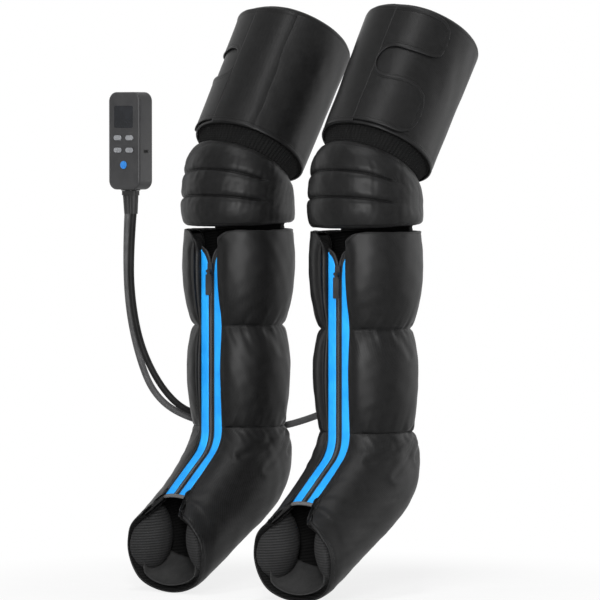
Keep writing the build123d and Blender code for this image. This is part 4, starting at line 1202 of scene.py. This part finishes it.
roll = np.linspace(0, math.pi / 2, 7)
cuff_radii = np.concatenate([
    [79.0], thigh_radius - top_rounding + top_rounding * np.sin(roll), np.full(60, thigh_radius),
])
cuff_heights = 3.0 * np.linspace(1, 0, len(cuff_radii)) ** 4 + np.concatenate([
    [thigh_length], thigh_length - top_rounding + top_rounding * np.cos(roll),
    np.linspace(thigh_length - top_rounding - 3, 0.2, 60),
])
cuff_grid = drum(cuff_radii, cuff_heights, cuff_turn)
cuff_down = run_along(cuff_grid, 0)
cuff_around = run_along(cuff_grid, 1)
wrap_start = math.radians(42)   # where the second layer comes out of the first
for side in ("right", "left"):
    seed = 61 if side == "right" else 67
    shift = rumple(cuff_around, cuff_down, seed, [(0.5, 90, 0.5), (0.22, 28, 0.5)])
    low = cuff_down[-1] - cuff_down
    shift += puckers(cuff_around, low, seed + 1, 0.5, 26, 14)
    top_hem = cuff_down - 17
    shift -= 0.45 * hump(top_hem, 1.2) + 0.45 * hump(low - 7, 1.2)
    shift = np.minimum(shift, 0.25) * np.clip(low / 4, 0, 1) * np.clip((cuff_down - 3) / 12, 0, 1)
    laid = on_thigh(cuff_grid + outward(cuff_grid, True) * shift[..., None])
    uv = np.stack([cuff_around, cuff_down], -1)
    # Its hems get the cloth's painted highlight band and the painted shade of their stitch rows.
    hem = np.minimum(np.clip(cuff_down - 10.5, 0, None), low)
    cuff = skin(f"{side}_thigh_cuff_cloth", laid, cover_wall, uv, side, hem, ring=True)
    cuff.data.materials.append(cover_look)
    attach(cuff, f"{side}_thigh")
    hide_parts(f"{side}_thigh_cuff")
    turn_at = np.linspace(0.0008 - tab_root, wrap_start, 40)
    wrap_heights = np.concatenate([[213.4], np.linspace(212, 2, 60), [0.6]])
    past_start = (wrap_start - turn_at) * thigh_radius
    proud = tab_radius - 4.2 * np.exp(-past_start / 14)
    wrap = drum(np.ones(len(wrap_heights)), wrap_heights, turn_at)
    wrap[..., :2] *= proud[:, None]
    wrap_uv = run_both(wrap) + [300, 0]       # so that its weave isn't the cuff's own
    # Its hems get the cloth's painted highlight band and the painted shade of their stitch rows.
    wrap_hem = np.minimum(wrap_uv[..., 1], wrap_uv[-1, :, 1] - wrap_uv[..., 1])
    soft = rumple(wrap_uv[..., 0], wrap_uv[..., 1], seed + 3, [(0.25, 60, 0.6)])
    wrap = on_thigh(wrap * (1 + np.minimum(soft, 0.2)[..., None] / thigh_radius * [1, 1, 0]))
    layer = skin(f"{side}_cuff_wrap", wrap, 2.2, wrap_uv, side, wrap_hem)
    layer.data.materials.append(cover_look)
    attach(layer, f"{side}_thigh")

# ------------------------------------------------------------------ thigh linings
# Inside the cuff the air chamber is faced with the same knitted mesh as the boot, rolled
# over at both ends.
thigh_bore = 74.0
face_rounding = 5.0
face_roll = np.linspace(0, math.pi / 2, 5)
face_radii = np.concatenate([
    [86.5], thigh_bore + face_rounding - face_rounding * np.sin(face_roll),
    np.full(40, thigh_bore), thigh_bore + face_rounding - face_rounding * np.cos(face_roll), [86.5],
])
face_heights = np.concatenate([
    [215.6], 210.6 + face_rounding * np.cos(face_roll), np.linspace(208, 8, 40),
    6 - face_rounding * np.sin(face_roll), [1.0],
])
face_grid = drum(face_radii, face_heights, cuff_turn)
face_uv = run_both(face_grid)
for side in ("right", "left"):
    facing = skin(
        f"{side}_thigh_lining_cloth", on_thigh(face_grid)[::-1], 1.5, face_uv[::-1], side,
        ring=True,
    )
    facing.data.materials.append(shaded_lining_look)
    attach(facing, f"{side}_thigh")
    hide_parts(f"{side}_thigh_bladder")

# ------------------------------------------------------------------ cuff tongues
# Each tongue is cut from two layers of the cover's cloth, rounded at its tip, and backed
# with a patch of hook tape that grips the cuff.
hook_look = finish(
    "hook_tape", netted((0.004, 0.004, 0.004), (0.028, 0.028, 0.028), 0.0014, 0.0005, 0.6)
)
tongues = {                  # degrees from the front, then the lower and the upper edge
    "upper": [
        (8, 118, 213.8), (10, 128, 213.8), (14, 137, 213.8), (20, 141.4, 213.8), (34, 142, 213.8),
        (48, 143.4, 212.6), (57, 145, 210), (63, 149.5, 203), (66.6, 158, 193), (67.8, 170, 181),
    ],
    "lower": [
        (8, 5.2, 114), (10, 5.2, 104), (14, 5.2, 95), (20, 5.2, 90.8), (34, 5.2, 91.6),
        (45, 5.4, 93), (55, 6.2, 90), (62, 13, 83), (67, 24, 73), (69.4, 40, 56),
    ],
}
tab_share = np.linspace(0, 1, 25)


def tongue_layer(radius, at, heights, stretch):
    """A layer's grid and its uv, from degrees and heights, with its face away from the leg."""
    grid = on_thigh(around_leg(radius, -np.radians(np.broadcast_to(at, heights.shape)), heights))
    uv = np.stack([np.broadcast_to(at * stretch, heights.shape), heights], -1)
    return grid[:, ::-1], uv[:, ::-1]


for side in ("right", "left"):
    for name, outline in tongues.items():
        outline = np.array(outline, float)
        reach = np.linspace(0, 1, 48)
        reach = reach - 0.075 * np.sin(2 * math.pi * reach)   # closer columns at both ends
        at = outline[0, 0] + 0.06 + reach * (outline[-1, 0] - outline[0, 0] - 0.06)
        low, high = smooth_curve(outline[:, 0], outline[:, 1:], at).T
        heights = high + (low - high) * tab_share[:, None]
        lift = 0.35 * np.clip((at - 50) / 20, 0, 1) ** 2
        edge = np.minimum(tab_share, 1 - tab_share)[:, None] * (high - low)
        edge = np.minimum(edge, (outline[-1, 0] - at) * math.radians(1) * tab_radius)
        curl = np.clip((at - 10) / 12, 0, 1) * 1.1 * np.exp(-edge / 5)
        radius = tab_radius + lift + curl - 0.5 * hump(edge - stitch_line, 1.3)
        grid, uv = tongue_layer(radius, at, heights, 1.62)
        # Its edges get the cloth's painted highlight band and the painted shade of their stitch
        # row.
        tongue = skin(f"{side}_{name}_tongue", grid, 2.2, uv, side, edge[:, ::-1])
        tongue.data.materials.append(cover_look)
        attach(tongue, f"{side}_{name}_flap")
        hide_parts(f"{side}_{name}_tab")
        patch_at = np.linspace(26, outline[-1, 0] - 5, 18)
        low, high = smooth_curve(outline[:, 0], outline[:, 1:], patch_at).T
        heights = high - 7 + (low + 7 - high + 7) * tab_share[:, None]
        grid, uv = tongue_layer(thigh_radius + 0.75, patch_at, heights, 1.6)
        patch = skin(f"{side}_{name}_hook_patch", grid, 0.5, uv, side)
        patch.data.materials.append(hook_look)
        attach(patch, f"{side}_{name}_flap")

# ------------------------------------------------------------------ air chambers
# Welded film bladders fill the wall between each cover and its lining. Nothing of them
# shows while the boot is whole.
film_look = finish(
    "chamber_film", moulded((0.004, 0.004, 0.004), (0.008, 0.008, 0.008), 0.5, 0.002, 0.0002),
    Specular_IOR_Level=0.1,
)


def refinish(nodes, look, worn=None):
    """Give CAD nodes a finish, and round their edges by that many metres where asked."""
    for name in nodes:
        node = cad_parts[name]
        node.data.materials.clear()
        node.data.materials.append(look)
        if worn:
            modifier = node.modifiers.new("worn_edges", "BEVEL")
            modifier.width = worn
            modifier.segments = 3
            modifier.limit_method = "ANGLE"
            modifier.angle_limit = math.radians(35)


for side in ("right", "left"):
    refinish([f"{side}_{part}_bladder" for part in ("upper", "lower", "foot")], film_look)

# ------------------------------------------------------------------ hard fittings
# The zipper's slider is die-cast and painted, its pull is moulded rubber over metal, and
# the hose ports and the twin plug are injection-moulded.
slider_look = finish(
    "painted_zinc", moulded((0.016, 0.016, 0.017), (0.028, 0.028, 0.030), 0.35, 0.0005, 0.00003),
    Metallic=0.6, Coat_Weight=0.1,
)
pull_look = finish(
    "pull_rubber", moulded((0.016, 0.016, 0.0165), (0.026, 0.026, 0.0265), 0.55, 0.0006, 0.00008),
    Specular_IOR_Level=0.2,
)
port_look = finish(
    "fitting_rubber", moulded((0.012, 0.012, 0.012), (0.022, 0.022, 0.022), 0.5),
    Specular_IOR_Level=0.2,
)
refinish(["right_zip_slider", "left_zip_slider"], slider_look, worn=0.0004)
refinish(["right_zip_pull", "left_zip_pull"], pull_look, worn=0.0004)
refinish(["right_hose_port", "left_hose_port", "hose_plug", "hose_socket"], port_look)

# ------------------------------------------------------------------ hand controller
# A two-shell moulded case with a smoked window and five sprung keys holds the board,
# battery, pump and valves.
controller_looks = [         # nodes, finish, darker and lighter colour, roughness, skin, fixed
    (
        ["case_front", "case_back"], "case_plastic", (0.018, 0.018, 0.019), (0.026, 0.026, 0.027),
        0.48, (0.0006, 0.00006), {"Specular_IOR_Level": 0.3},
    ),
    (
        ["display_window"], "smoked_window", (0.006, 0.007, 0.009), (0.010, 0.011, 0.014),
        0.12, (0.002, 0.000005), {"Specular_IOR_Level": 0.25},
    ),
    (
        ["minus_button", "plus_button", "mode_button", "heat_button"], "key_plastic",
        (0.17, 0.175, 0.185), (0.21, 0.215, 0.225), 0.42, (0.0005, 0.00003), {},
    ),
    (
        ["power_button"], "power_key", (0.010, 0.150, 0.480), (0.015, 0.190, 0.560),
        0.38, (0.0005, 0.00003), {},
    ),
    (
        ["circuit_board"], "circuit_board", (0.010, 0.060, 0.025), (0.018, 0.095, 0.040),
        0.4, (0.003, 0.0001), {},
    ),
    (
        ["battery_pack"], "battery_wrap", (0.030, 0.080, 0.160), (0.040, 0.100, 0.190),
        0.3, (0.002, 0.00005), {},
    ),
    (
        ["pump_motor"], "motor_can", (0.42, 0.42, 0.43), (0.55, 0.55, 0.56),
        0.28, (0.0006, 0.00002), {"Metallic": 0.95},
    ),
    (
        ["pump_head"], "pump_plastic", (0.48, 0.48, 0.46), (0.58, 0.58, 0.56),
        0.5, (0.0008, 0.00005), {},
    ),
    (
        ["pump_rotor"], "rotor_plastic", (0.050, 0.050, 0.054), (0.070, 0.070, 0.074),
        0.45, (0.0007, 0.00005), {},
    ),
    (
        ["valve_block"], "cast_aluminium", (0.38, 0.38, 0.39), (0.50, 0.50, 0.51),
        0.42, (0.0008, 0.00008), {"Metallic": 0.9},
    ),
    (
        ["right_plunger", "left_plunger", "case_screws"], "bright_steel",
        (0.50, 0.50, 0.51), (0.62, 0.62, 0.63), 0.22, (0.0005, 0.00002), {"Metallic": 1.0},
    ),
]
for nodes, name, dark, light, rough, fine_skin, fixed in controller_looks:
    refinish(nodes, finish(name, moulded(dark, light, rough, *fine_skin), **fixed))
refinish(["charge_socket"], port_look)

# ------------------------------------------------------------------ studio
# A seamless pale floor and a white surround, with broad soft lamps. It isn't part of
# the object.
floor_mesh = bpy.data.meshes.new("studio_floor")
floor_low = cad_low.z - 0.0005
floor_corners = [(x, y, floor_low) for x, y in ((-6, -6), (6, -6), (6, 6), (-6, 6))]
floor_mesh.from_pydata(floor_corners, [], [(0, 1, 2, 3)])
floor = placed("studio_floor", floor_mesh)


def shown(start):
    """1 for rays of the picture: straight from the camera, mirrored or through glass."""
    seen = start.node("ShaderNodeLightPath", out="Is Camera Ray")
    return seen + seen.other("Is Glossy Ray") + seen.other("Is Transmission Ray")


paper_look = bpy.data.materials.new("studio_paper")
paper_look.use_nodes = True
paper_look.node_tree.nodes.clear()
paper = Shade(paper_look.node_tree)
fibre = paper.grain(0.05, 2).within(0.2, 0.8).blend((0.84, 0.84, 0.84), (0.88, 0.88, 0.88))
sheet = paper.node("ShaderNodeBsdfPrincipled", None, {"Base Color": fibre, "Roughness": 0.9})
glow = paper.node("ShaderNodeEmission", None, {"Color": (1, 1, 1, 1), "Strength": 1.0})
place = paper.node("ShaderNodeTexCoord", out="Object")
centre = {0: place, 1: (sight.x, sight.y, floor_low)}
away = paper.node("ShaderNodeVectorMath", {"operation": "DISTANCE"}, centre, "Value")
white_share = shown(paper) * (0.80 + 0.20 * away.within(0.30, 0.8))
lit = paper.node("ShaderNodeMixShader", None, {0: white_share, 1: sheet, 2: glow})
paper.node("ShaderNodeOutputMaterial", None, {"Surface": lit})
floor_mesh.materials.append(paper_look)

surround = bpy.data.worlds.new("white_surround")
bpy.context.scene.world = surround
surround.use_nodes = True
surround.node_tree.nodes.clear()
air = Shade(surround.node_tree)
white = air.node("ShaderNodeBackground", None, {"Color": (1, 1, 1, 1), "Strength": 1.0})
fill = air.node("ShaderNodeBackground", None, {"Color": (1, 1, 1, 1), "Strength": 0.16})
chosen = air.node("ShaderNodeMixShader", None, {0: shown(air), 1: fill, 2: white})
air.node("ShaderNodeOutputWorld", None, {"Surface": chosen})


def softbox(name, place, size, power):
    """An oblong lamp that faces the middle of the pair."""
    data = bpy.data.lights.new(name, "AREA")
    data.shape = "RECTANGLE"
    data.size, data.size_y = size
    data.energy = power
    lamp = placed(name, data)
    lamp.location = place
    aimed(lamp, sight - lamp.location)


def around_sight(turned, height, distance):
    """A place that many degrees to the right of the camera, seen from the pair."""
    angle = turn + math.radians(turned)
    return (sight.x + math.sin(angle) * distance, sight.y - math.cos(angle) * distance, height)


softbox("key_lamp", around_sight(-3, 0.35, 3.0), (0.4, 1.7), 105)
softbox("top_lamp", around_sight(-3, 2.7, 1.3), (0.45, 1.2), 40)
softbox("side_lamp", around_sight(104, 0.3, 2.6), (2.2, 2.2), 31)
softbox("far_lamp", around_sight(-118, 0.4, 2.8), (1.4, 2.2), 14)
